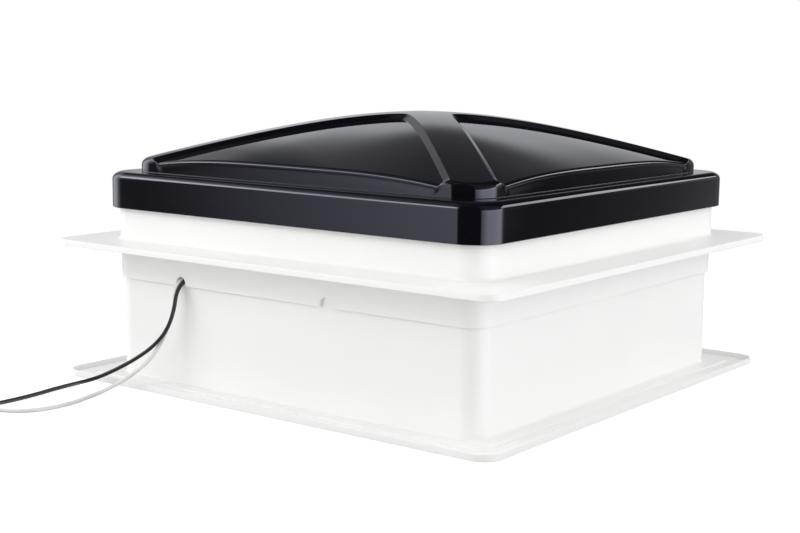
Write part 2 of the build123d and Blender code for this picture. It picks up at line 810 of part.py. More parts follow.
def worm_wheel():
    low_x = gear_mid_x - wheel_thick / 2
    body = rod_x(wheel_radius, low_x, low_x + wheel_thick, arm_pivot_y, rail_z)
    gap = math.pi * wheel_radius / wheel_teeth / 2
    for i in range(wheel_teeth):
        cut = Rot(90, 0, 0) * Cylinder(gap, wheel_thick + 2 * cut_over)
        turned = Rot(0, 0, 360 * i / wheel_teeth) * Pos(wheel_radius, 0, 0) * Rot(90, 0, 0) * cut
        body -= Pos(gear_mid_x, arm_pivot_y, rail_z) * Rot(0, 90, 0) * turned
    return body - rod_x(arm_shaft_radius, low_x - cut_over, low_x + wheel_thick + cut_over,
                        arm_pivot_y, rail_z)


def arm_shaft():
    return rod_x(arm_shaft_radius, arm_low_x, gear_cover_x + gear_cover_thick, arm_pivot_y, rail_z)


def lift_arm():
    half = arm_width / 2
    body = slab(arm_low_x, arm_high_x, shoe_rest_y, arm_pivot_y, rail_z - half, rail_z + half)
    for y in (shoe_rest_y, arm_pivot_y):
        body += rod_x(half, arm_low_x, arm_high_x, y, rail_z)
    body -= rod_x(arm_shaft_radius, arm_low_x - cut_over, arm_high_x + cut_over, arm_pivot_y, rail_z)
    return body - rod_x(arm_pin_radius, arm_low_x - cut_over, arm_high_x + cut_over, shoe_rest_y, rail_z)


def shoe_pin():
    low_x = rail_low_x + rail_wall + shoe_gap
    head = rod_x(arm_pin_radius + rail_wall, arm_high_x, arm_high_x + pin_head_thick * 2 / 3,
                 shoe_rest_y, rail_z)
    return rod_x(arm_pin_radius, low_x, arm_high_x, shoe_rest_y, rail_z) + head


def slide_shoe():
    half = rail_height / 2 - rail_wall - shoe_gap
    body = slab(rail_low_x + rail_wall + shoe_gap, rail_high_x - rail_wall - shoe_gap,
                shoe_rest_y - shoe_length / 2, shoe_rest_y + shoe_length / 2, rail_z - half, rail_z + half)
    body = fillet(body.edges().filter_by(Axis.X), half / 4)
    return body - rod_x(arm_pin_radius + run_gap, rail_low_x, rail_high_x, shoe_rest_y, rail_z)


# Fascia strip with the controls, beside the insect screen
def fascia_top_z():
    return fascia_z + fascia_thick


def fascia_half_y():
    return sleeve_inner - 2 * fascia_side_gap


def fascia_outer_x():
    return sleeve_inner - fascia_side_gap


def fascia_screw_places():
    return [(fascia_post_x, -fascia_post_y), (fascia_post_x, fascia_post_y)]


def control_fascia():
    middle = (fascia_inner_x + fascia_outer_x()) / 2
    half_x = (fascia_outer_x() - fascia_inner_x) / 2
    body = block(half_x, fascia_half_y(), fascia_z, fascia_top_z() + fascia_rim, fascia_round, middle)
    body -= block(half_x - fascia_thick, fascia_half_y() - fascia_thick, fascia_top_z(),
                  fascia_top_z() + fascia_rim + cut_over, fascia_round - fascia_thick, middle)
    body -= rod(crank_radius + fit_gap, fascia_z - cut_over, fascia_top_z() + cut_over, gear_mid_x, worm_y)
    body -= rod(speed_shaft_radius + fit_gap, fascia_z - cut_over, fascia_top_z() + cut_over,
                speed_x, speed_y)
    body -= slab(speed_x - rocker_width / 2, speed_x + rocker_width / 2, rocker_y - rocker_length / 2,
                 rocker_y + rocker_length / 2, fascia_z - cut_over, fascia_top_z() + cut_over)
    for x, y in fascia_screw_places():
        body -= rod(small_screw_radius, fascia_z - cut_over, fascia_top_z() + cut_over, x, y)
    return body


def fascia_screws():
    return Compound([screw(small_screw_radius, small_head_radius, small_head_thick, fascia_z,
                           fascia_top_z() + screw_length - cut_over, x, y) for x, y in fascia_screw_places()])


def ribbed_knob(radius, low, high, x, y, ribs):
    """Slightly domed round knob with finger grooves."""
    body = rod(radius, low, high, x, y)
    body = fillet(body.edges().group_by(Axis.Z)[0], crank_knob_round)
    for i in range(ribs):
        angle = 2 * math.pi * i / ribs
        body -= rod(knob_rib_radius, low - cut_over, high + cut_over,
                    x + radius * math.cos(angle), y + radius * math.sin(angle))
    return body


def crank_knob():
    high = fascia_z - knob_gap
    body = ribbed_knob(crank_knob_radius, knob_low_z(), high, gear_mid_x, worm_y, knob_ribs)
    return body - rod(crank_radius, knob_low_z() - cut_over, high + cut_over, gear_mid_x, worm_y)


def crank_knob_screw():
    low = knob_low_z() - small_head_thick
    return rod(small_head_radius + small_head_thick, low, knob_low_z(), gear_mid_x, worm_y)


def speed_switch():
    """Rotary switch body behind the fascia, with a bushing through it."""
    half = switch_body / 2
    low = fascia_top_z()
    body = slab(speed_x - half, speed_x + half, speed_y - half, speed_y + half, low, low + switch_body_height)
    body += rod(speed_shaft_radius + fit_gap, fascia_z, low, speed_x, speed_y)
    return body - rod(speed_shaft_radius + run_gap, fascia_z - cut_over, low + switch_body_height / 2,
                      speed_x, speed_y)


def speed_knob():
    """Pointer knob with its shaft."""
    high = fascia_z - knob_gap
    low = high - speed_knob_height
    body = rod(speed_knob_radius, low + speed_knob_height / 2, high, speed_x, speed_y)
    body += block(speed_knob_radius / 4, speed_knob_radius - crank_knob_round / 5, low, high,
                  speed_knob_radius / 5, speed_x, speed_y)
    shaft_top = fascia_top_z() + switch_body_height / 2 - fit_gap
    return body + rod(speed_shaft_radius, high - cut_over, shaft_top, speed_x, speed_y)


def rocker_switch():
    """Hollow switch case with a bezel under the fascia."""
    half_x, half_y = rocker_width / 2, rocker_length / 2
    low, high = fascia_z - rocker_bezel, fascia_z + rocker_depth
    body = slab(speed_x - half_x, speed_x + half_x, rocker_y - half_y, rocker_y + half_y, fascia_z, high)
    body += block(half_x + rocker_bezel_width, half_y + rocker_bezel_width, low, fascia_z, rocker_bezel_width,
                  speed_x, rocker_y)
    wall = rocker_bezel_width / 2
    body -= slab(speed_x - half_x + wall, speed_x + half_x - wall, rocker_y - half_y + wall,
                 rocker_y + half_y - wall, low - cut_over, fascia_z + rocker_depth / 2)
    pivot_z = fascia_z + rocker_bezel
    return body - rod_x(rocker_pivot_radius + run_gap, speed_x - half_x, speed_x + half_x, rocker_y, pivot_z)


def rocker_button():
    """Button with a shallow vee face and its two pivot stubs."""
    half_x = rocker_width / 2 - rocker_bezel_width / 2 - rocker_tilt_gap
    half_y = rocker_length / 2 - rocker_bezel_width / 2 - 2 * rocker_tilt_gap
    pivot_z = fascia_z + rocker_bezel
    face_z = fascia_z - rocker_bezel - rocker_proud
    back_z = pivot_z + rocker_pivot_radius + rocker_tilt_gap
    outline = Polyline((rocker_y - half_y, face_z), (rocker_y, face_z + rocker_proud / 2),
                       (rocker_y + half_y, face_z), (rocker_y + half_y - rocker_proud / 2, back_z),
                       (rocker_y - half_y + rocker_proud / 2, back_z), close=True)
    plane = Plane(origin=(speed_x - half_x, 0, 0), x_dir=(0, 1, 0), z_dir=(1, 0, 0))
    body = extrude(plane * make_face(outline), amount=2 * half_x)
    stub = rocker_width / 2 - rocker_bezel_width / 4
    return body + rod_x(rocker_pivot_radius, speed_x - stub, speed_x + stub, rocker_y, pivot_z)


# Insect screen, held up by four quarter-turn fasteners
def screen_top_z():
    return screen_low_z + screen_height


def screen_low_x():
    return -sleeve_inner + screen_side_gap


def screen_high_x():
    return fascia_inner_x - screen_gap_to_fascia


def screen_half_y():
    return sleeve_inner - 2 * screen_side_gap


def screen_post_places():
    return [(x, side * (screen_half_y() - latch_inset)) for x in
            (screen_low_x() + latch_inset, screen_high_x() - latch_inset) for side in (-1, 1)]


def insect_screen_frame():
    middle = (screen_low_x() + screen_high_x()) / 2
    half_x = (screen_high_x() - screen_low_x()) / 2
    half_y = screen_half_y()
    body = block(half_x, half_y, screen_low_z, screen_top_z(), screen_round, middle)
    body = fillet(body.edges().group_by(Axis.Z)[0], mesh_wire)
    body -= slab(middle - half_x + screen_bar, middle + half_x - screen_bar, -half_y + screen_bar,
                 half_y - screen_bar, screen_low_z - cut_over, screen_top_z() + cut_over)
    rebate = screen_bar - screen_rebate
    rebate_z = (screen_low_z + screen_top_z()) / 2
    body -= slab(middle - half_x + rebate, middle + half_x - rebate, -half_y + rebate, half_y - rebate,
                 rebate_z, screen_top_z() + cut_over)
    for x, y in screen_post_places():
        body += rod(latch_inset - mesh_wire, screen_low_z, screen_top_z(), x, y)
    for x, y in screen_post_places():
        body -= rod(latch_stem_radius + run_gap, screen_low_z - cut_over, screen_top_z() + cut_over, x, y)
    return body


def insect_mesh():
    """One sheet with a grid of square gaps, clear of the four eyes of the frame."""
    middle = (screen_low_x() + screen_high_x()) / 2
    edge = screen_bar - screen_rebate + fit_gap / 2
    half_x = (screen_high_x() - screen_low_x()) / 2 - edge
    half_y = screen_half_y() - edge
    low = (screen_low_z + screen_top_z()) / 2
    outline = Pos(middle, 0, low) * Rectangle(2 * half_x, 2 * half_y)
    open_x, open_y = half_x - screen_rebate, half_y - screen_rebate
    step_x, step_y = 2 * open_x / mesh_across, 2 * open_y / mesh_along
    gaps = [Pos(middle - open_x + (i + 0.5) * step_x, -open_y + (j + 0.5) * step_y, low)
            * Rectangle(step_x - mesh_wire, step_y - mesh_wire)
            for i in range(mesh_across) for j in range(mesh_along)]
    eyes = [Pos(x, y, low) * Circle(latch_inset - mesh_wire + fit_gap / 2) for x, y in screen_post_places()]
    face = outline - gaps - eyes
    return extrude(face, amount=mesh_thick)


def screen_latch(x, y):
    """Quarter-turn fastener: round head with a finger grip, and a stem in the post."""
    high = screen_low_z - fit_gap / 2
    low = high - latch_head
    body = rod(latch_radius, low, high, x, y)
    body += slab(x - latch_radius + latch_grip / 2, x + latch_radius - latch_grip / 2,
                 y - latch_grip_width / 2, y + latch_grip_width / 2, low - latch_grip, low)
    return body + rod(latch_stem_radius, low, screen_low_z + screen_height + latch_depth - fit_gap, x, y)


# Ceiling garnish: sleeve that slides in the collar and a flange with an upturned lip
def ceiling_garnish():
    plateau_half = sleeve_half + plateau_width
    body = block(garnish_half, garnish_half, 0, garnish_lip_height, garnish_corner)
    body = fillet(body.edges().group_by(Axis.Z)[-1], garnish_lip_width / 3)
    body -= block(garnish_half - garnish_lip_width, garnish_half - garnish_lip_width, garnish_thick,
                  garnish_lip_height + cut_over, garnish_corner - garnish_lip_width)
    body += block(plateau_half, plateau_half, 0, plateau_thick, plateau_corner)
    body += block(sleeve_half, sleeve_half, 0, sleeve_top_z, sleeve_corner)
    body -= block(sleeve_inner, sleeve_inner, -cut_over, sleeve_top_z + cut_over, sleeve_corner - sleeve_wall)
    slot_half = slot_width / 2
    body -= slab(wire_notch_x - slot_half, wire_notch_x + slot_half, -sleeve_half - cut_over,
                 -sleeve_inner + cut_over, slot_low_z, sleeve_top_z + cut_over)
    return body


# Supply wires: two leads from a clamp under the shroud, out through the sleeve slot and the notch
def exit_direction():
    return Vector(0, -1, -exit_slope_share).normalized()


def clamp_screw_places():
    return [(wire_notch_x, clamp_back_y() + clamp_tab / 2)]


def clamp_back_y():
    return clamp_face_y + clamp_depth


def supply_wire_clamp():
    """Block with a sloping face square to the wires, hung from the shroud by its tab."""
    way = exit_direction()
    lean = Vector(0, way.Z, -way.Y)
    half = clamp_face / 2
    face_low = Vector(0, clamp_face_y, clamp_face_z) - lean * half
    face_high = Vector(0, clamp_face_y, clamp_face_z) + lean * half
    under_z = min(face_low.Z, face_high.Z)
    lower, upper = sorted((face_low, face_high), key=lambda v: v.Z)
    top_z = flange_top_z - fit_gap / 2
    outline = Polyline((lower.Y, under_z), (upper.Y, upper.Z), (upper.Y, top_z), (clamp_back_y(), top_z),
                       (clamp_back_y(), under_z), close=True)
    plane = Plane(origin=(wire_notch_x - clamp_width / 2, 0, 0), x_dir=(0, 1, 0), z_dir=(1, 0, 0))
    body = extrude(plane * make_face(outline), amount=clamp_width)
    body += slab(wire_notch_x - clamp_width / 2, wire_notch_x + clamp_width / 2, ledge_edge_y(),
                 clamp_back_y() + clamp_tab, upper.Z, ledge_top_z)
    for x, y in clamp_screw_places():
        body -= rod(small_screw_radius, ledge_top_z - screw_length, ledge_top_z + cut_over, x, y)
    return body


def ledge_edge_y():
    """Just clear of the inner edge of the ledge."""
    return -ledge_half + fit_gap / 2


def clamp_screw():
    places = clamp_screw_places()
    return Compound([screw(small_screw_radius, small_head_radius, small_head_thick, shroud_top_z,
                           ledge_top_z - screw_length + cut_over, x, y) for x, y in places])


def wire_path(side, route):
    """Straight runs joined by tangent arcs, each as large as its two runs allow."""
    start = Vector(wire_notch_x + side * wire_pitch / 2, clamp_face_y, clamp_face_z)
    points = [start] + [Vector(*place) for place in route]
    radii = []
    for before, corner, after in zip(points, points[1:], points[2:]):
        half_turn = math.radians((corner - before).get_angle(after - corner)) / 2
        shorter = min((corner - before).length, (after - corner).length)
        radii.append(wire_bend_share * shorter / math.tan(half_turn))
    path = FilletPolyline(*points, radius=radii)
    print("least radius", round(min(radii), 1), "length", round(path.length, 1))
    print("radii", [round(radius) for radius in radii])
    return path, points


def supply_wire(side, route):
    path, points = wire_path(side, route)
    section = Plane(origin=points[0], z_dir=points[1] - points[0]) * Circle(wire_diameter / 2)
    tube = sweep(section, path=path)
    print("volume over section times length",
          round(tube.volume / (math.pi * wire_diameter ** 2 / 4 * path.length), 4))
    return tube


def wire_end(route):
    """Bare twisted strands at the end of a lead."""
    last, before = Vector(*route[-1]), Vector(*route[-2])
    way = (last - before).normalized()
    return extrude(Plane(origin=last, z_dir=way) * Circle(wire_end_radius), amount=wire_end_length)


save(base_frame(), "base_frame")
save(hinge_pins(), "hinge_pins")
save(neck_seal(), "neck_seal")
save(lid(), "lid")
save(lid_rail(), "lid_rail")
for name, place in zip(("front", "rear"), rail_bracket_places()):
    save(rail_bracket(place), "rail_bracket_" + name)
save(rail_screws(), "rail_screws")
save(fan_shroud(), "fan_shroud")
save(shroud_screws(), "shroud_screws")
save(motor_bracket(), "motor_bracket")
save(bracket_screws(), "bracket_screws")
save(motor_housing(), "motor_housing")
save(motor_end_cap(), "motor_end_cap")
save(motor_magnets(), "motor_magnets")
save(motor_rotor(), "motor_rotor")
save(motor_shaft(), "motor_shaft")
save(fan_impeller(), "fan_impeller")
save(impeller_nut(), "impeller_nut")
save(gear_housing(), "gear_housing")
save(gear_cover(), "gear_cover")
save(gear_screws(), "gear_screws")
save(crank_shaft(), "crank_shaft")
save(worm_gear(), "worm_gear")
save(worm_wheel(), "worm_wheel")
save(arm_shaft(), "arm_shaft")
save(lift_arm(), "lift_arm")
save(shoe_pin(), "shoe_pin")
save(slide_shoe(), "slide_shoe")
save(control_fascia(), "control_fascia")
save(fascia_screws(), "fascia_screws")
save(crank_knob(), "crank_knob")
save(crank_knob_screw(), "crank_knob_screw")
save(speed_switch(), "speed_switch")
save(speed_knob(), "speed_knob")
save(rocker_switch(), "rocker_switch")
save(rocker_button(), "rocker_button")
save(insect_screen_frame(), "insect_screen_frame")
save(insect_mesh(), "insect_mesh")
for number, (x, y) in enumerate(screen_post_places(), start=1):
    save(screen_latch(x, y), "screen_latch_" + str(number))
save(ceiling_garnish(), "ceiling_garnish")
save(supply_wire_clamp(), "supply_wire_clamp")
save(clamp_screw(), "clamp_screw")
save(supply_wire(1, black_route), "supply_wire_black")
save(supply_wire(-1, white_route), "supply_wire_white")
save(wire_end(black_route), "wire_end_black")
save(wire_end(white_route), "wire_end_white")
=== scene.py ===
import bpy
import bmesh
import json
import math
from mathutils import Matrix, Vector


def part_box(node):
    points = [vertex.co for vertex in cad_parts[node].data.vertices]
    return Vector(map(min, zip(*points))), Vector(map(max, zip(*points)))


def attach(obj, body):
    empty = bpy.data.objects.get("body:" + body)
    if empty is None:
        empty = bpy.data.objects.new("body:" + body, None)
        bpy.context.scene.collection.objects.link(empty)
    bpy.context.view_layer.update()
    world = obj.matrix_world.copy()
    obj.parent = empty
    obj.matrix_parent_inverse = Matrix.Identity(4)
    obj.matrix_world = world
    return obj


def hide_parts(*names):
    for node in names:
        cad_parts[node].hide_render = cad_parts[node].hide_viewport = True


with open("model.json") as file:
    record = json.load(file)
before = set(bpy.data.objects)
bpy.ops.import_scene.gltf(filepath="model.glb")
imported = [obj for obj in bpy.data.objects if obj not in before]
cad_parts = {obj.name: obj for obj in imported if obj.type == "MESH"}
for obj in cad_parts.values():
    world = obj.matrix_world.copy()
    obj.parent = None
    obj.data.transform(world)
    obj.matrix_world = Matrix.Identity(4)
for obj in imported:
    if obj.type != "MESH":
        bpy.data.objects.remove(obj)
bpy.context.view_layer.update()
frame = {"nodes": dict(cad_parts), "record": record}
nodes = frame["nodes"]
scene = bpy.context.scene
scene.view_settings.view_transform = "Standard"
bpy.ops.object.select_all(action="DESELECT")
print("frame loaded,", len(nodes), "nodes")


def mm(length):
    return length / 1000


def hexColour(text, alpha=1.0):
    # sRGB hex to the linear values that the shaders take
    values = [int(text[i:i + 2], 16) / 255 for i in (1, 3, 5)]
    return (*[v / 12.92 if v <= 0.04045 else ((v + 0.055) / 1.055) ** 2.4 for v in values], alpha)


def addNode(tree, kind, settings=None, links=None):
    # A setting is a socket where the node has one of that name or number, and else a property
    node = tree.nodes.new(kind)
    for key, value in (settings or {}).items():
        if isinstance(key, int) or key in node.inputs:
            node.inputs[key].default_value = value
        else:
            setattr(node, key, value)
    for key, source in (links or {}).items():
        tree.links.new(source, node.inputs[key])
    return node


# The photograph's camera: place in metres, turns in degrees, focal length and sensor width in mm
camera = {"place": (0.69487, -0.94591, 0.2576), "yaw": 37.20, "pitch": 8.43, "roll": 0.652,
          "lens": 65.71, "sensor": 36, "near": 0.05}


def addCamera(cam):
    yaw, pitch, roll = (math.radians(cam[k]) for k in ("yaw", "pitch", "roll"))
    level = math.cos(pitch)
    back = Vector((math.sin(yaw) * level, -math.cos(yaw) * level, math.sin(pitch)))
    right = Vector((math.cos(yaw), math.sin(yaw), 0))
    up = back.cross(right)
    across = math.cos(roll) * right + math.sin(roll) * up
    upright = math.cos(roll) * up - math.sin(roll) * right
    bpy.ops.object.camera_add(location=cam["place"])
    obj = bpy.context.object
    obj.name = "camera"
    turn = Matrix((across, upright, back)).transposed()
    obj.rotation_euler = turn.to_euler()
    obj.data.lens = cam["lens"]
    obj.data.sensor_width = cam["sensor"]
    obj.data.clip_start = cam["near"]
    scene.camera = obj


addCamera(camera)

# Studio: white backdrop, even fill, and what the gloss of the lid mirrors from each side.
# A height is the sine of the elevation; a heading is in degrees from -Y towards +X.
studio = {
    "fill": 0.76,    # the even light, which no gloss mirrors
    # What a gloss mirrors: pairs of height and brightness, times pairs of heading and brightness
    "byHeight": [(-0.1, 0.52), (0.1, 0.62), (0.2, 0.7), (0.32, 0.72), (0.345, 0.61), (0.365, 0.43),
                 (0.385, 0.28), (0.405, 0.18), (0.43, 0.135), (0.5, 0.1), (0.6, 0.06), (0.8, 0.05),
                 (1.0, 0.03)],
    "byHeading": [(-180, 0.35), (-158, 0.75), (-154, 1.09), (-146, 1.08), (-142, 1.12),
                  (-138, 1.28), (-134, 1.35), (-131.2, 0.5), (-124, 0.65), (-106, 0.6), (-98, 3),
                  (-80, 4.4), (-58, 2.8), (-50.5, 1.5), (-48.4, 0.1), (-46, 0.33), (-42, 1.4),
                  (-35, 3), (-31, 3), (-24, 0.05), (53, 0.05), (59, 3.5), (80, 7.6), (122, 7.6),
                  (134, 4.8), (144, 1), (147.5, 0.1), (150, 0.16), (154.4, 0.4), (155.3, 0.9),
                  (168, 0.4), (180, 0.35)],
    "brightest": 8,    # a ramp holds no more than 1, so the headings are drawn as shares of this
    "lean": 0.62, "leanWay": -55,    # the upper edge of the bright part is highest at this heading
    "cool": (0.93, 0.94, 1),
    "lamps": [
        {"name": "lampLeft", "place": (-0.6, -1.7, 0.6), "size": (1.2, 1.2), "power": 4.8,
         "mirrored": False},
        {"name": "lampRight", "place": (1.8, 0.3, 0.45), "size": (1.2, 1.2), "power": 8.5,
         "mirrored": False},
        {"name": "lampTop", "place": (-0.3, -0.4, 1.9), "size": (1.2, 1.2), "power": 5,
         "mirrored": False},
        {"name": "stripLeft", "place": (-1.26, -1.3, 1.05), "size": (1, 0.45), "power": 9,
         "mirrored": True},
        {"name": "stripRight", "place": (1.03, 1.52, 0.9), "size": (1, 0.45), "power": 5.5,
         "mirrored": True},
    ],
    "aim": (0, 0, 0.1),
    "floorSize": 1.6, "floorTone": 0.6, "floorGlow": 0.65,
}


def addWorld(look):
    world = bpy.data.worlds.new("studio")
    scene.world = world
    world.use_nodes = True
    tree = world.node_tree
    tree.nodes.clear()
    way = addNode(tree, "ShaderNodeTexCoord").outputs["Generated"]
    height = addNode(tree, "ShaderNodeSeparateXYZ", links={0: way}).outputs["Z"]
    # The edge isn't level, so the height is scaled by how far the way points to leanWay
    side = math.radians(look["leanWay"])
    across = addNode(tree, "ShaderNodeVectorMath",
                     {"operation": "DOT_PRODUCT", 1: (math.sin(side), -math.cos(side), 0)},
                     {0: way}).outputs["Value"]
    share = addNode(tree, "ShaderNodeMath",
                    {"operation": "MULTIPLY_ADD", 1: -look["lean"], 2: 1}, {0: across}).outputs[0]
    height = addNode(tree, "ShaderNodeMath", {"operation": "MULTIPLY"},
                     {0: height, 1: share}).outputs[0]
    level = addNode(tree, "ShaderNodeMapRange", {"From Min": -1, "From Max": 1}, {"Value": height})
    tall = addNode(tree, "ShaderNodeValToRGB", links={0: level.outputs[0]})
    fillRamp(tall, [((z + 1) / 2, value) for z, value in look["byHeight"]], look["cool"])
    turned = addNode(tree, "ShaderNodeMapping", {"Rotation": (0, 0, math.radians(90))}, {0: way})
    compass = addNode(tree, "ShaderNodeTexGradient", {"gradient_type": "RADIAL"},
                      {0: turned.outputs[0]})
    wide = addNode(tree, "ShaderNodeValToRGB", links={0: compass.outputs["Fac"]})
    fillRamp(wide, [(heading / 360 + 0.5, value / look["brightest"])
                    for heading, value in look["byHeading"]])
    both = addNode(tree, "ShaderNodeMix", {"data_type": "RGBA", "blend_type": "MULTIPLY", 0: 1},
                   {6: tall.outputs[0], 7: wide.outputs[0]})
    gloss = addNode(tree, "ShaderNodeBackground", {"Strength": look["brightest"]},
                    {"Color": both.outputs[2]})
    white = (1, 1, 1, 1)
    even = addNode(tree, "ShaderNodeBackground", {"Color": white, "Strength": look["fill"]})
    backdrop = addNode(tree, "ShaderNodeBackground", {"Color": white, "Strength": 1})
    rays = addNode(tree, "ShaderNodeLightPath").outputs
    seen = addNode(tree, "ShaderNodeMath", {"operation": "MAXIMUM"},
                   {0: rays["Is Camera Ray"], 1: rays["Is Transmission Ray"]})
    lit = addNode(tree, "ShaderNodeMixShader",
                  links={0: rays["Is Glossy Ray"], 1: even.outputs[0], 2: gloss.outputs[0]})
    shown = addNode(tree, "ShaderNodeMixShader",
                    links={0: seen.outputs[0], 1: lit.outputs[0], 2: backdrop.outputs[0]})
    addNode(tree, "ShaderNodeOutputWorld", links={"Surface": shown.outputs[0]})


def fillRamp(node, stops, tint=(1, 1, 1)):
    elements = node.color_ramp.elements
    for number, (place, value) in enumerate(stops):
        if number in (0, len(stops) - 1):
            element = elements[0 if number == 0 else -1]
            element.position = place
        else:
            element = elements.new(place)
        element.color = (*[value * share for share in tint], 1)


def addLamp(lamp, aim):
    bpy.ops.object.light_add(type="AREA", location=lamp["place"])
    obj = bpy.context.object
    obj.name = lamp["name"]
    obj.data.shape = "RECTANGLE"
    obj.data.size, obj.data.size_y = lamp["size"]
    obj.data.energy = lamp["power"]
    way = Vector(aim) - Vector(lamp["place"])
    obj.rotation_euler = way.to_track_quat("-Z", "Y").to_euler()
    obj.visible_glossy = lamp["mirrored"]
    obj.visible_camera = False


def addFloor(look):
    bpy.ops.mesh.primitive_plane_add(size=look["floorSize"], location=(0, 0, 0))
    obj = bpy.context.object
    obj.name = "floor"
    paint = bpy.data.materials.new("mattWhiteBoard")
    paint.use_nodes = True
    tree = paint.node_tree
    tree.nodes.clear()
    board = addNode(tree, "ShaderNodeBsdfDiffuse", {"Color": (*[look["floorTone"]] * 3, 1)})
    glow = addNode(tree, "ShaderNodeEmission",
                   {"Color": (1, 1, 1, 1), "Strength": look["floorGlow"]})
    rays = addNode(tree, "ShaderNodeLightPath").outputs
    both = addNode(tree, "ShaderNodeAddShader", links={0: board.outputs[0], 1: glow.outputs[0]})
    # The glow lifts the board to white for the camera alone, and the shadows on it stay
    shown = addNode(tree, "ShaderNodeMixShader",
                    links={0: rays["Is Camera Ray"], 1: board.outputs[0], 2: both.outputs[0]})
    addNode(tree, "ShaderNodeOutputMaterial", links={"Surface": shown.outputs[0]})
    obj.data.materials.append(paint)
    obj.visible_glossy = False


addWorld(studio)
for lampSettings in studio["lamps"]:
    addLamp(lampSettings, studio["aim"])
addFloor(studio)
print("camera, world, lamps and floor set")

# Finishes by the record's slots. "colours" are the main tone and the one it drifts to over "patch"
# mm, and "rough" is the range of roughness that drifts along. "grain" is the bump's size and "deep"
# its height in mm. "lines" is how many times longer the pattern is along Y.
finishes = {
    # Injection-moulded ABS, lightly spark-eroded: cool white with a soft, slightly broken gloss
    "white_abs": {"name": "mouldedWhiteAbs", "colours": ("#F7F7F6", "#F4F4F3"), "patch": 90,
                  "rough": (0.32, 0.38), "grain": 0.7, "deep": 0.003, "ior": 1.53,
                  "specular": 0.25},
    # Acrylic-capped ABS, polished tool: deep black that mirrors, with a faint long wave
    "black_lid": {"name": "polishedBlackAcrylic", "colours": ("#0A0A0F", "#0D0D12"), "patch": 80,
                  "rough": (0.04, 0.06), "grain": 14, "deep": 0.006, "ior": 1.49,
                  "tint": "#EAEAFF"},
    # Closed-cell EPDM sponge: matt, near black, with a skin of fine cells
    "seal_rubber": {"name": "spongeEpdm", "colours": ("#1A1A1B", "#242425"), "patch": 6,
                    "rough": (0.75, 0.9), "grain": 0.8, "deep": 0.12, "ior": 1.5},
    # Pressed steel, zinc-plated and blue-passivated: cool bright grey with rolling lines
    "steel": {"name": "zincPlatedSteel", "colours": ("#B9BDC2", "#A3A9B3"), "patch": 14, "metal": 1,
              "rough": (0.28, 0.42), "grain": 0.5, "deep": 0.01, "lines": 12},
    # Zinc-plated screws: the same plating on a finer, turned surface
    "screws": {"name": "zincPlatedScrew", "colours": ("#C2C5C9", "#A9ADB4"), "patch": 3, "metal": 1,
               "rough": (0.25, 0.4), "grain": 0.3, "deep": 0.01},
    # Extruded aluminium, mill finish: pale grey with die lines along its length
    "aluminium": {"name": "extrudedAluminium", "colours": ("#C9CACC", "#BDBEC1"), "patch": 20,
                  "metal": 1, "rough": (0.3, 0.45), "grain": 0.4, "deep": 0.012, "lines": 30},
    # Stove-enamelled steel can: satin black over the drawn steel's slight waves
    "motor_can": {"name": "enamelledSteelCan", "colours": ("#19191B", "#222225"), "patch": 18,
                  "rough": (0.35, 0.5), "grain": 0.6, "deep": 0.02, "ior": 1.5},
    # Sintered ferrite: dull charcoal with a gritty break
    "magnet": {"name": "sinteredFerrite", "colours": ("#3B3B3D", "#2C2C2F"), "patch": 3,
               "rough": (0.6, 0.8), "grain": 0.4, "deep": 0.05, "ior": 1.8},
    # Glass-filled nylon: dark grey, matt, mottled by fibres near the skin
    "fan_plastic": {"name": "glassFilledNylon", "colours": ("#2B2D30", "#3A3C3F"), "patch": 5,
                    "rough": (0.5, 0.68), "grain": 0.5, "deep": 0.03, "ior": 1.54},
    # Natural nylon: creamy, a little waxy, lets some light in
    "nylon": {"name": "naturalNylon", "colours": ("#E3E0D3", "#D8D4C4"), "patch": 8,
              "rough": (0.38, 0.5), "grain": 0.5, "deep": 0.015, "ior": 1.53, "inside": 0.15},
    # Black acetal: dense, smooth and slightly greasy
    "acetal": {"name": "blackAcetal", "colours": ("#141415", "#1C1C1E"), "patch": 5,
               "rough": (0.28, 0.4), "grain": 0.5, "deep": 0.01, "ior": 1.48},
    # Turned brass: warm yellow with a fine grain from the tool
    "brass": {"name": "turnedBrass", "colours": ("#C9A45A", "#B48F48"), "patch": 4, "metal": 1,
              "rough": (0.22, 0.38), "grain": 0.25, "deep": 0.01},
    # Moulded grey ABS, textured for grip: mid grey, satin
    "grey_knob": {"name": "texturedGreyAbs", "colours": ("#8F9194", "#86888B"), "patch": 10,
                  "rough": (0.45, 0.6), "grain": 0.45, "deep": 0.03, "ior": 1.53},
    # Moulded black nylon: off-black with a fine matt grain
    "switch_black": {"name": "mouldedBlackNylon", "colours": ("#1B1B1C", "#232324"), "patch": 6,
                     "rough": (0.4, 0.55), "grain": 0.4, "deep": 0.02, "ior": 1.53},
    # Glass-fibre yarn coated in PVC: black, waxy threads
    "screen_mesh": {"name": "coatedScreenYarn", "colours": ("#1E1E1F", "#2A2A2B"), "patch": 4,
                    "rough": (0.45, 0.6), "grain": 0.3, "deep": 0.02, "ior": 1.5},
    # Flexible PVC insulation, extruded: soft black with a dull shine
    "wire_black": {"name": "blackPvcSleeve", "colours": ("#161617", "#222224"), "patch": 9,
                   "rough": (0.36, 0.5), "grain": 0.5, "deep": 0.015, "ior": 1.53},
    # The same insulation with a white pigment: a little grey, with the same dull shine
    "wire_white": {"name": "whitePvcSleeve", "colours": ("#E9E9E7", "#DEDEDA"), "patch": 9,
                   "rough": (0.36, 0.5), "grain": 0.5, "deep": 0.015, "ior": 1.53},
    # Bunched copper strands, tinned: silver-grey with copper showing through
    "copper": {"name": "tinnedCopperStrand", "colours": ("#C3BFBA", "#B98564"), "patch": 0.8,
               "metal": 1, "rough": (0.3, 0.5), "grain": 0.3, "deep": 0.05},
}

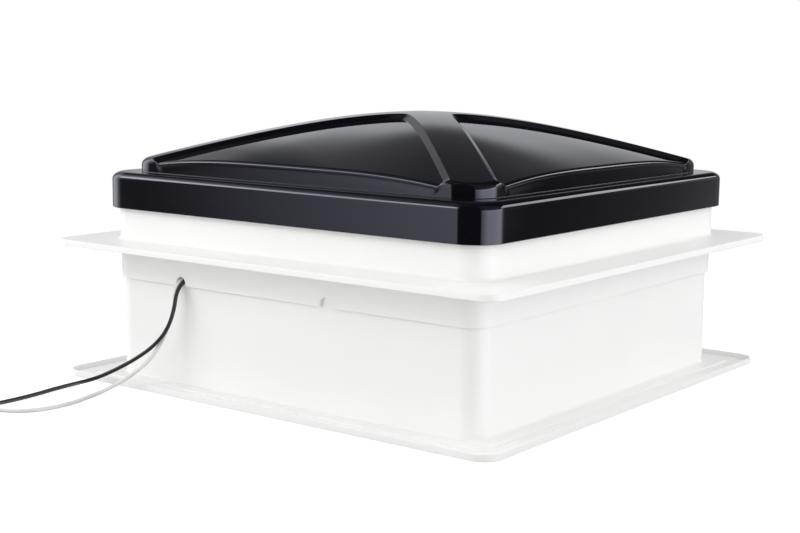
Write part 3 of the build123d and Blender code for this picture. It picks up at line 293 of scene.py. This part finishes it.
# How the noise is drawn: the values that the drift runs between, the detail and roughness of drift
# and grain, and how far light goes into a finish that lets it in, in mm
noise = {"low": 0.2, "high": 0.8, "drift": (3, 0.5), "grain": (2, 0.55), "inside": 2}
plainSockets = {"metal": "Metallic", "ior": "IOR", "specular": "Specular IOR Level",
                "inside": "Subsurface Weight"}


def makeFinish(look):
    finish = bpy.data.materials.new(look["name"])
    finish.use_nodes = True
    tree = finish.node_tree
    surface = tree.nodes["Principled BSDF"]
    place = addNode(tree, "ShaderNodeTexCoord").outputs["Object"]
    if "lines" in look:    # stretched along Y, the way the sheet or bar was drawn
        place = addNode(tree, "ShaderNodeMapping", {"Scale": (1, 1 / look["lines"], 1)},
                        {0: place}).outputs[0]
    detail, rough = noise["drift"]
    drift = addNode(tree, "ShaderNodeTexNoise",
                    {"Scale": 1 / mm(look["patch"]), "Detail": detail, "Roughness": rough},
                    {"Vector": place})
    span = {"From Min": noise["low"], "From Max": noise["high"]}
    tone = addNode(tree, "ShaderNodeMapRange", span, {"Value": drift.outputs[0]})
    first, second = (hexColour(text) for text in look["colours"])
    colour = addNode(tree, "ShaderNodeMix", {"data_type": "RGBA", 6: first, 7: second},
                     {0: tone.outputs[0]})
    tree.links.new(colour.outputs[2], surface.inputs["Base Color"])
    detail, rough = noise["grain"]
    grain = addNode(tree, "ShaderNodeTexNoise",
                    {"Scale": 1 / mm(look["grain"]), "Detail": detail, "Roughness": rough},
                    {"Vector": place})
    low, high = look["rough"]
    sheen = addNode(tree, "ShaderNodeMapRange", {**span, "To Min": low, "To Max": high},
                    {"Value": drift.outputs[0]})
    tree.links.new(sheen.outputs[0], surface.inputs["Roughness"])
    bump = addNode(tree, "ShaderNodeBump", {"Strength": 1, "Distance": mm(look["deep"])},
                   {"Height": grain.outputs[0]})
    tree.links.new(bump.outputs[0], surface.inputs["Normal"])
    for key, socket in plainSockets.items():
        if key in look:
            surface.inputs[socket].default_value = look[key]
    if "tint" in look:
        surface.inputs["Specular Tint"].default_value = hexColour(look["tint"])
    if "inside" in look:
        surface.inputs["Subsurface Scale"].default_value = mm(noise["inside"])
    return finish


finish = {slot: makeFinish(look) for slot, look in finishes.items()}
slotOf = {part["node"]: part["material_slot"] for part in frame["record"]["subparts"]}
for node, obj in nodes.items():
    for place in obj.material_slots:
        place.material = finish[slotOf[node]]
print(len(finish), "finishes made and put on the CAD nodes")


def onlyActive(obj):
    bpy.ops.object.select_all(action="DESELECT")
    obj.select_set(True)
    bpy.context.view_layer.objects.active = obj


def editMode(obj):
    onlyActive(obj)
    bpy.ops.object.mode_set(mode="EDIT")
    bpy.ops.mesh.select_all(action="SELECT")


def applyAll(obj):
    onlyActive(obj)
    for modifier in list(obj.modifiers):
        bpy.ops.object.modifier_apply(modifier=modifier.name)


def settle(obj):
    # The place goes into the mesh, so that the object stands at the origin
    onlyActive(obj)
    bpy.ops.object.transform_apply(location=True, rotation=True, scale=True)


def finishPiece(obj, name, body, slot, replaced, angle=35):
    settle(obj)
    obj.name = name
    obj.data.name = name
    obj.data.materials.clear()
    obj.data.materials.append(finish[slot])
    bpy.ops.object.shade_smooth_by_angle(angle=math.radians(angle))
    even = obj.modifiers.new("evenShade", "WEIGHTED_NORMAL")    # keeps the large flat faces flat
    even.keep_sharp = True
    applyAll(obj)
    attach(obj, body)
    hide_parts(*replaced)
    print(name, len(obj.data.polygons), "faces")


def cut(obj, cutter, operation="DIFFERENCE"):
    onlyActive(obj)
    knife = obj.modifiers.new("cut", "BOOLEAN")
    knife.operation = operation
    knife.solver = "EXACT"
    knife.object = cutter
    bpy.ops.object.modifier_apply(modifier=knife.name)
    bpy.data.objects.remove(cutter)


def joinInto(obj, others):
    bpy.ops.object.select_all(action="DESELECT")
    for other in others:
        other.select_set(True)
    obj.select_set(True)
    bpy.context.view_layer.objects.active = obj
    bpy.ops.object.join()


def addBox(low, high):
    middle = [mm(a + b) / 2 for a, b in zip(low, high)]
    bpy.ops.mesh.primitive_cube_add(size=1, location=middle)
    obj = bpy.context.object
    obj.scale = [mm(b - a) for a, b in zip(low, high)]
    settle(obj)
    return obj


def squareLoft(rows, steps):
    # Rounded squares, one for each row of half width, corner radius and height, bridged in turn
    # and closed. They stand apart meanwhile, because a bridge between level loops crosses over.
    apart = 10
    for number, (half, corner, z) in enumerate(rows):
        bpy.ops.mesh.primitive_plane_add(size=2 * mm(half), location=(0, 0, mm(apart * number)))
        if number == 0:
            obj = bpy.context.object
            settle(obj)
            editMode(obj)
        bpy.ops.mesh.bevel(offset=mm(corner), segments=steps, affect="VERTICES", clamp_overlap=True)
    bpy.ops.mesh.select_all(action="SELECT")
    bpy.ops.mesh.delete(type="ONLY_FACE")
    perRow = 4 * (steps + 1)
    for number in range(len(rows)):
        pair = {number, (number + 1) % len(rows)}
        bpy.ops.mesh.select_all(action="DESELECT")
        mesh = bmesh.from_edit_mesh(obj.data)
        for edge in mesh.edges:
            ends = {vertex.index // perRow for vertex in edge.verts}
            edge.select = len(ends) == 1 and ends <= pair
        bmesh.update_edit_mesh(obj.data)
        bpy.ops.mesh.bridge_edge_loops()
    for number, (half, corner, z) in enumerate(rows):
        mesh = bmesh.from_edit_mesh(obj.data)
        for vertex in mesh.verts:
            vertex.select = vertex.index // perRow == number
        bmesh.update_edit_mesh(obj.data)
        bpy.ops.transform.translate(value=(0, 0, mm(z - apart * number)))
    bpy.ops.mesh.select_all(action="SELECT")
    bpy.ops.mesh.normals_make_consistent(inside=False)
    bpy.ops.object.mode_set(mode="OBJECT")
    return obj


def arcRows(half, corner, z, radius, start, end, steps):
    # Rows round a fillet: its centre in the section, and its angles in degrees from straight out
    rows = []
    for i in range(steps + 1):
        turn = math.radians(start + (end - start) * i / steps)
        out = radius * math.cos(turn)
        rows.append((half + out, corner + out, z + radius * math.sin(turn)))
    return rows


# Lid: the outer skin of a quarter is one grid, from the apex over the rim and the ledge to the
# skirt's foot. Its rows are rounded squares, and its columns run along the diagonals, on which the
# raised bands lie.
lid = {
    "apex": 209.6, "softness": 135, "slope": 0.305, "power": 3.64,
    "rim": 165, "rimCorner": 23, "roundedFrom": 150, "wall": 2.4, "foot": 162.1,
    # The sunk panels: depth, round of the end near the apex, and how the edge turns at the rim
    "recess": 4, "panelEnd": 8, "panelEdge": 20.4, "flare": 9, "flareReach": 0.98,
    # Round of the edge over the rim on a band and on a panel, and where one turns into the other
    "bandEdge": 4, "rimEdge": 2.2, "edgeFrom": 17, "edgeOver": 9,
    # Distance from the diagonal, and how much of the recess is reached there
    "columns": [(0, 0), (5, 0), (10, 0), (15, 0), (19, 0), (19.6, 0), (20.4, 0.02), (21, 0.10),
                (21.8, 0.25), (23.2, 0.5), (24.6, 0.75), (25.4, 0.90), (26, 0.98), (26.8, 1),
                (27.6, 1), (28.4, 1), (29.2, 1), (30, 1), (30.8, 1), (31.6, 1), (32.4, 1),
                (33.2, 1), (34, 1), (35, 1), (36, 1), (38, 1)],
    "cells": 16, "plain": 37,    # past the columns: cells to the side's middle, and their distance
    "rows": [0, 6, 12, 17, 20.4, 22, 23.6, 25.2, 26.8, 28.4, 29.4, 30.6, 31.8, 33, 34, 35, 38, 42,
             46, 50, 55, 60, 65, 70, 75, 80, 85, 90, 95, 100, 105, 110, 115, 120, 125, 130, 135,
             140, 145, 150, 153, 156, 158, 159.5, 160.4, 161, 161.6, 162.3, 163, 163.6, 164,
             164.35, 164.65, 164.87, 165],
    "wallShares": [0.06, 0.14, 0.25, 0.4, 0.55, 0.7, 0.85, 1],
    # The panel's edge goes on down the rim's wall as a faint step that runs out
    "tail": {"inset": 0.6, "long": 6, "wide": 6, "from": 28, "start": 1.5},
    # Half width and height, from the rim's foot over the ledge and down the skirt
    "skirt": [(165.05, 161.95), (165.15, 161.78), (165.35, 161.7), (170, 161.7), (174.9, 161.7),
              (176.15, 161.57), (177.34, 161.18), (178.43, 160.55), (179.29, 159.79),
              (179.93, 158.97), (180.38, 158.14), (180.7, 157.25), (180.86, 156.43),
              (180.9, 155.7), (180.9, 146), (180.9, 134.6), (180.65, 134.0), (180.1, 133.8)],
    "skirtCorner": 22.4, "skirtHalf": 180.9,
    "hinge": {"x": 110, "y": 189, "z": 135, "radius": 6, "bore": 3.05, "long": 24,
              "webLow": 3.2, "webTop": 5, "webInto": 1.2, "webShort": 1},
    # Blocks inside the dome that the lift's rail hangs from: middle along Y and top of each
    "bosses": [(-103, 176.6), (31, 180.4)],
    "bossLow": 164.1, "bossX": (128, 141.4), "bossHalf": 10,
    "merge": 0.01,    # mm within which the quarters' points are joined
}


def domeHeight(x, y):
    spread = math.sqrt(2) / 2 ** (1 / lid["power"])
    reach = spread * (abs(x) ** lid["power"] + abs(y) ** lid["power"]) ** (1 / lid["power"])
    return lid["apex"] - lid["slope"] * (math.hypot(reach, lid["softness"]) - lid["softness"])


def smoothStep(value):
    value = min(1, max(0, value))
    return value * value * (3 - 2 * value)


def recessShare(c):
    places = lid["columns"]
    if c <= places[0][0]:
        return places[0][1]
    for (low, a), (high, b) in zip(places, places[1:]):
        if c <= high:
            return a + (b - a) * (c - low) / (high - low)
    return 1


def flare(t):
    # How far a panel's edge has turned away from the band where it runs out to the rim
    radius = lid["flare"]
    rise = min(1, max(0, (t - lid["rim"] + radius) / radius))
    return radius * (1 - math.sqrt(1 - lid["flareReach"] * rise ** 2))


def columnPlace(number):
    # Distance from the near diagonal, for which one plain value does past the named columns
    columns = lid["columns"]
    return columns[number][0] if number < len(columns) else lid["plain"]


def lidColumn(number, t):
    # Place along the side and distance from the diagonal, for a column on the row of half width t
    named = len(lid["columns"])
    closed = max(0, t - lid["panelEnd"])
    if number < named:
        c = columnPlace(number)
        end = lid["panelEnd"] * min(1, c / lid["panelEdge"])
        if t - c > end:
            return math.sqrt((t - c) ** 2 - end ** 2), c
        return 0, min(c, closed)
    last, _ = lidColumn(named - 1, t)
    share = (number - named + 1) / lid["cells"]
    y = last * (1 - share)
    return y, min(t - y, closed) if last == 0 else lid["plain"]


def cornerPoint(t, corner, share):
    # Point on a rounded square's corner, which ends at share 0 and meets the diagonal at share 1
    turn = math.radians(45) * share
    return t - corner + corner * math.cos(turn), t - corner + corner * math.sin(turn)


def lidPoints():
    half = len(lid["columns"]) - 1 + lid["cells"]
    rim, rimCorner = lid["rim"], lid["rimCorner"]
    table = []
    for t in lid["rows"]:
        row = []
        corner = rimCorner * smoothStep((t - lid["roundedFrom"]) / (rim - lid["roundedFrom"]))
        for number in range(half + 1):
            along, c = lidColumn(number, t)
            out = t
            if corner and c < corner:
                out, along = cornerPoint(t, corner, 1 - c / corner)
            c -= flare(t)
            blend = smoothStep((c - lid["edgeFrom"]) / lid["edgeOver"])
            edge = lid["bandEdge"] + (lid["rimEdge"] - lid["bandEdge"]) * blend
            drop = edge - math.sqrt(max(0, edge ** 2 - max(0, t - rim + edge) ** 2))
            z = domeHeight(out, along) - lid["recess"] * recessShare(c) - drop
            row.append((out, along, z))
        table.append(row)
    top = table[-1]
    tail = lid["tail"]
    for share in lid["wallShares"]:
        row = []
        for number, (out, along, z) in enumerate(top):
            deep = (z - lid["foot"]) * share
            aside = columnPlace(number) - (tail["from"] + deep)
            inset = tail["inset"] * smoothStep(aside / tail["wide"])
            inset *= smoothStep(deep / tail["start"]) * max(0, 1 - deep / tail["long"])
            row.append((out - inset, along, z - deep))
        table.append(row)
    straight = rim - rimCorner
    grown = lid["skirtCorner"] - rimCorner
    for t, z in lid["skirt"]:
        row = []
        corner = rimCorner + grown * (t - rim) / (lid["skirtHalf"] - rim)
        for number, (_, along, _) in enumerate(top):
            c = columnPlace(number)
            if c < rimCorner:
                row.append((*cornerPoint(t, corner, 1 - c / rimCorner), z))
            else:
                row.append((t, along * (t - corner) / straight, z))
        table.append(row)
    # The other half of the side mirrors this one
    return [row + [(out, -along, z) for out, along, z in reversed(row[:-1])] for row in table]


def makeLidSkin():
    table = lidPoints()
    across, down = len(table[0]), len(table)
    bpy.ops.mesh.primitive_grid_add(x_subdivisions=across - 1, y_subdivisions=down - 1)
    quarter = bpy.context.object
    for number, point in enumerate(quarter.data.vertices):
        out, along, z = table[number // across][number % across]
        point.co = (mm(along), -mm(out), mm(z))
    copies = []
    for turn in (90, 180, 270):
        onlyActive(quarter)
        bpy.ops.object.duplicate()
        other = bpy.context.object
        other.rotation_euler = (0, 0, math.radians(turn))
        settle(other)
        copies.append(other)
    joinInto(quarter, copies)
    editMode(quarter)
    bpy.ops.mesh.remove_doubles(threshold=mm(lid["merge"]))
    bpy.ops.mesh.normals_make_consistent(inside=False)
    bpy.ops.object.mode_set(mode="OBJECT")
    wall = quarter.modifiers.new("wall", "SOLIDIFY")
    wall.thickness = mm(lid["wall"])
    wall.offset = -1
    wall.use_even_offset = True
    wall.use_quality_normals = True
    applyAll(quarter)
    return quarter


def makeLidHinge(side):
    # Barrel with its bore, and the web that ties it to the skirt
    h = lid["hinge"]
    x = side * h["x"]
    bpy.ops.mesh.primitive_cylinder_add(vertices=40, radius=mm(h["radius"]), depth=mm(h["long"]),
                                        end_fill_type="NOTHING",
                                        location=(mm(x), mm(h["y"]), mm(h["z"])),
                                        rotation=(0, math.radians(90), 0))
    barrel = bpy.context.object
    wall = barrel.modifiers.new("wall", "SOLIDIFY")
    wall.thickness = mm(h["radius"] - h["bore"])
    wall.offset = -1
    applyAll(barrel)
    settle(barrel)
    web = addBox((x - h["long"] / 2, lid["skirtHalf"] - h["webInto"], h["z"] + h["webLow"]),
                 (x + h["long"] / 2, h["y"] - h["webShort"], h["z"] + h["webTop"]))
    return [barrel, web]


def makeLid():
    skin = makeLidSkin()
    extras = []
    for side in (-1, 1):
        extras += makeLidHinge(side)
    for y, top in lid["bosses"]:
        extras.append(addBox((lid["bossX"][0], y - lid["bossHalf"], lid["bossLow"]),
                             (lid["bossX"][1], y + lid["bossHalf"], top)))
    joinInto(skin, extras)
    finishPiece(skin, "lidShell", "lid", "black_lid", ["lid"], angle=40)


makeLid()

# Base frame: roof flange, collar below it, neck above it and the ledge inside
base = {
    "steps": 10,
    # Half width, corner radius and height: the collar and the flange, up to the neck's toe
    "below": [(172.8, 15.4, 78.4), (174.5, 17.1, 78.4), (174.85, 17.45, 78.55), (175, 17.6, 78.9),
              (175, 17.6, 103.4), (175.2, 17.8, 103.85), (175.8, 18.4, 104), (206.2, 12.9, 104),
              (206.7, 13.4, 104.4), (206.7, 13.4, 108.0), (206.4, 13.1, 108.7), (205.7, 12.4, 109)],
    "toe": 3, "neck": 175.5, "neckCorner": 18.1, "flangeTop": 109,
    # The neck, its lip and the way down the inside
    "above": [(175.5, 18.1, 154.2), (175.27, 17.87, 154.77), (174.7, 17.3, 155), (171.0, 13.6, 155),
              (170.7, 13.3, 154.7), (170.7, 13.3, 152.5), (172.8, 15.4, 152.5), (172.8, 15.4, 112),
              (161.6, 8, 112), (161.3, 7.7, 111.7), (161.3, 7.7, 109), (172.8, 15.4, 109)],
    "collar": 175,
    "notches": {"x": (-99, 44), "half": 4.6, "top": 85.4, "low": 70, "middle": 173.9, "deep": 8,
                "edge": 0.35, "edgeFrom": 78.95, "edgeTo": 85.5},
    "ears": {"x": (-125.8, -94.2, 94.2, 125.8), "thick": 7, "low": 108.6, "top": 141, "half": 6,
             "round": 5.98, "ribTop": 124.8, "ribInto": 1, "ribShy": 0.02},
    "near": 0.01,    # mm by which a corner may miss the place that it is looked for at
}


def notchCutter(x):
    n = base["notches"]
    half, low = n["half"], n["top"] - n["half"]
    bpy.ops.mesh.primitive_cylinder_add(vertices=48, radius=mm(half), depth=mm(n["deep"]),
                                        location=(mm(x), mm(-n["middle"]), mm(low)),
                                        rotation=(math.radians(90), 0, 0))
    obj = bpy.context.object
    settle(obj)
    front, back = -n["middle"] - n["deep"] / 2, -n["middle"] + n["deep"] / 2
    cut(obj, addBox((x - half, front, n["low"]), (x + half, back, low)), "UNION")
    return obj


def softenNotches(obj):
    # The cut edges of the outer face are broken a little, as on a moulding
    n = base["notches"]
    near = mm(base["near"])
    editMode(obj)
    bpy.ops.mesh.select_all(action="DESELECT")
    mesh = bmesh.from_edit_mesh(obj.data)
    for edge in mesh.edges:
        places = [vertex.co for vertex in edge.verts]
        inNotch = any(all(abs(co.x - mm(x)) < mm(n["half"]) + near for co in places)
                      for x in n["x"])
        onFace = all(co.y < mm(-base["collar"]) + near for co in places)
        edge.select = inNotch and onFace and all(
            mm(n["edgeFrom"]) < co.z < mm(n["edgeTo"]) for co in places)
    bmesh.update_edit_mesh(obj.data)
    bpy.ops.mesh.bevel(offset=mm(n["edge"]), segments=2, affect="EDGES")
    bpy.ops.object.mode_set(mode="OBJECT")


def makeEar(x):
    # Upright ear with a round top, and a rib back to the neck
    e = base["ears"]
    half, shy = e["thick"] / 2, e["thick"] / 2 - e["ribShy"]
    y = lid["hinge"]["y"]
    ear = addBox((x - half, y - e["half"], e["low"]), (x + half, y + e["half"], e["top"]))
    editMode(ear)
    bpy.ops.mesh.select_all(action="DESELECT")
    mesh = bmesh.from_edit_mesh(ear.data)
    near = mm(base["near"])
    for edge in mesh.edges:    # the two top edges that run along X
        a, b = (vertex.co for vertex in edge.verts)
        edge.select = min(a.z, b.z) > mm(e["top"]) - near and abs(a.y - b.y) < near
    bmesh.update_edit_mesh(ear.data)
    bpy.ops.mesh.bevel(offset=mm(e["round"]), segments=10, affect="EDGES")
    bpy.ops.object.mode_set(mode="OBJECT")
    rib = addBox((x - shy, base["neck"] - e["ribInto"], e["low"]), (x + shy, y, e["ribTop"]))
    return [ear, rib]


def makeBase():
    toe = base["toe"]
    rows = arcRows(base["neck"] + toe, base["neckCorner"] + toe, base["flangeTop"] + toe, toe,
                   start=270, end=180, steps=5)
    body = squareLoft(base["below"] + rows + base["above"], base["steps"])
    for x in base["notches"]["x"]:
        cut(body, notchCutter(x))
    softenNotches(body)
    ears = []
    for x in base["ears"]["x"]:
        ears += makeEar(x)
    joinInto(body, ears)
    finishPiece(body, "baseShell", "base", "white_abs", ["base_frame"], angle=30)


makeBase()

# Ceiling garnish: sleeve, raised step and thin flange with an upturned lip
garnish = {
    "steps": 10,
    "rows": [(170.2, 12.8, 0.3), (170.5, 13.1, 0), (202.0, 14.3, 0), (202.5, 14.8, 0.2),
             (202.7, 15, 0.7), (202.7, 15, 4.8), (202.58, 14.88, 5.08), (202.3, 14.6, 5.2),
             (201.9, 14.2, 5.2), (201.5, 13.8, 4.9), (201.5, 13.8, 1.5), (201.2, 13.5, 1.2),
             (185.4, 3.9, 1.2), (185, 3.5, 1.5), (185, 3.5, 1.9), (184.7, 3.2, 2.2),
             (174.4, 17, 2.2), (173.6, 16.2, 2.4), (172.8, 15.4, 3.0), (172.4, 15, 4.0),
             (172.4, 15, 97.5), (172.25, 14.85, 97.85), (171.9, 14.5, 98), (170.7, 13.3, 98),
             (170.35, 12.95, 97.85), (170.2, 12.8, 97.5)],
    "slot": {"x": -99, "half": 4, "front": -176, "back": -167, "low": 79.4, "top": 104},
}


def makeGarnish():
    body = squareLoft(garnish["rows"], garnish["steps"])
    slot = garnish["slot"]    # open at the top, for the wires
    cut(body, addBox((slot["x"] - slot["half"], slot["front"], slot["low"]),
                     (slot["x"] + slot["half"], slot["back"], slot["top"])))
    finishPiece(body, "garnishShell", "garnish", "white_abs", ["ceiling_garnish"], angle=30)


makeGarnish()

# Neck seal: a sponge bulb on the neck's lip
seal = {
    "steps": 8,
    "rows": [(171.1, 13.7, 155), (174.9, 17.5, 155), (175.15, 17.75, 155.4), (175.1, 17.7, 156.6),
             (174.9, 17.5, 157.6), (174.3, 16.9, 158.5), (173.4, 16, 158.95), (172.5, 15.1, 158.95),
             (171.6, 14.2, 158.5), (171.1, 13.7, 157.6), (170.9, 13.5, 156.6),
             (170.85, 13.45, 155.4)],
}
bulb = squareLoft(seal["rows"], seal["steps"])
finishPiece(bulb, "neckSeal", "base", "seal_rubber", ["neck_seal"])

# Fly screen: two layers of coated yarn, drawn coarser than the real 1.4 mm so that the threads
# show. The layers are pressed into each other a little, as woven yarn is.
screen = {"pitch": 1.6, "yarn": 0.3, "inset": 0.4, "middle": 83.3, "pressed": 0.02}


def addYarn(place, length, turn, step, count):
    bpy.ops.mesh.primitive_cylinder_add(vertices=5, radius=mm(screen["yarn"] / 2), depth=mm(length),
                                        location=[mm(v) for v in place],
                                        rotation=[math.radians(v) for v in turn])
    yarn = bpy.context.object
    settle(yarn)
    copies = yarn.modifiers.new("weave", "ARRAY")
    copies.count = count
    copies.use_relative_offset = False
    copies.use_constant_offset = True
    copies.constant_offset_displace = [mm(v) for v in step]
    applyAll(yarn)
    return yarn


def makeScreen():
    low, high = ([1000 * v for v in corner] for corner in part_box("insect_mesh"))
    left, right = low[0] + screen["inset"], high[0] - screen["inset"]
    back = high[1] - screen["inset"]
    wide, deep, pitch = right - left, 2 * back, screen["pitch"]
    apart = screen["yarn"] / 2 - screen["pressed"]
    count = int(wide / pitch)
    start = wide / 2 - (count - 1) * pitch / 2
    alongY = addYarn((left + start, 0, screen["middle"] - apart), deep, (90, 0, 0),
                     (pitch, 0, 0), count)
    count = int(deep / pitch)
    start = deep / 2 - (count - 1) * pitch / 2
    alongX = addYarn(((left + right) / 2, start - back, screen["middle"] + apart), wide, (0, 90, 0),
                     (0, pitch, 0), count)
    joinInto(alongY, [alongX])
    finishPiece(alongY, "flyScreen", "base", "screen_mesh", ["insect_mesh"])


makeScreen()
print("lid, base, garnish, seal and screen made")

# Supply wires: the first point is where the clamp lets go, the rest is the route, all in metres
wires = {
    "diameter": 0.003,
    "black": {
        "length": 0.2796,
        "points": [
            (-0.0973, -0.1605, 0.0905), (-0.0973, -0.1685, 0.0849), (-0.0972, -0.1810, 0.0769),
            (-0.0966, -0.1848, 0.0605), (-0.1010, -0.1880, 0.0460), (-0.1106, -0.1916, 0.0338),
            (-0.1245, -0.1974, 0.0226), (-0.1410, -0.2055, 0.0122), (-0.1555, -0.2135, 0.0046),
            (-0.1650, -0.2260, 0.0016), (-0.1634, -0.2450, 0.0016), (-0.1600, -0.2640, 0.0016),
            (-0.1584, -0.2840, 0.0016), (-0.1586, -0.3010, 0.0016), (-0.1640, -0.3140, 0.0016),
            (-0.1750, -0.3230, 0.0016), (-0.1900, -0.3285, 0.0016), (-0.2055, -0.3300, 0.0016),
        ],
    },
    "white": {
        "length": 0.2909,
        "points": [
            (-0.1007, -0.1605, 0.0905), (-0.1007, -0.1685, 0.0849), (-0.1007, -0.1790, 0.0782),
            (-0.1008, -0.1810, 0.0620), (-0.1046, -0.1836, 0.0470), (-0.1092, -0.1870, 0.0340),
            (-0.1122, -0.1954, 0.0230), (-0.1170, -0.2060, 0.0142), (-0.1242, -0.2156, 0.0066),
            (-0.1292, -0.2280, 0.0016), (-0.1240, -0.2460, 0.0016), (-0.1190, -0.2640, 0.0016),
            (-0.1184, -0.2810, 0.0016), (-0.1214, -0.2960, 0.0016), (-0.1300, -0.3065, 0.0016),
            (-0.1430, -0.3130, 0.0016), (-0.1570, -0.3210, 0.0016), (-0.1700, -0.3330, 0.0016),
            (-0.1860, -0.3420, 0.0016), (-0.2035, -0.3455, 0.0016),
        ],
    },
}


def addWire(colour, wire):
    data = bpy.data.curves.new("wire" + colour, "CURVE")
    data.dimensions = "3D"
    spline = data.splines.new("NURBS")
    spline.points.add(len(wire["points"]) - 1)
    for point, place in zip(spline.points, wire["points"]):
        point.co = (*place, 1)
    spline.order_u = 3
    spline.use_endpoint_u = True
    data.resolution_u = 12
    data.bevel_depth = wires["diameter"] / 2
    data.bevel_resolution = 6
    data.use_fill_caps = True
    data.materials.append(finish["wire_" + colour.lower()])
    obj = bpy.data.objects.new("wire" + colour, data)
    scene.collection.objects.link(obj)
    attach(obj, "base")
    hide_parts("supply_wire_" + colour.lower())


addWire("Black", wires["black"])
addWire("White", wires["white"])
print("wires laid")
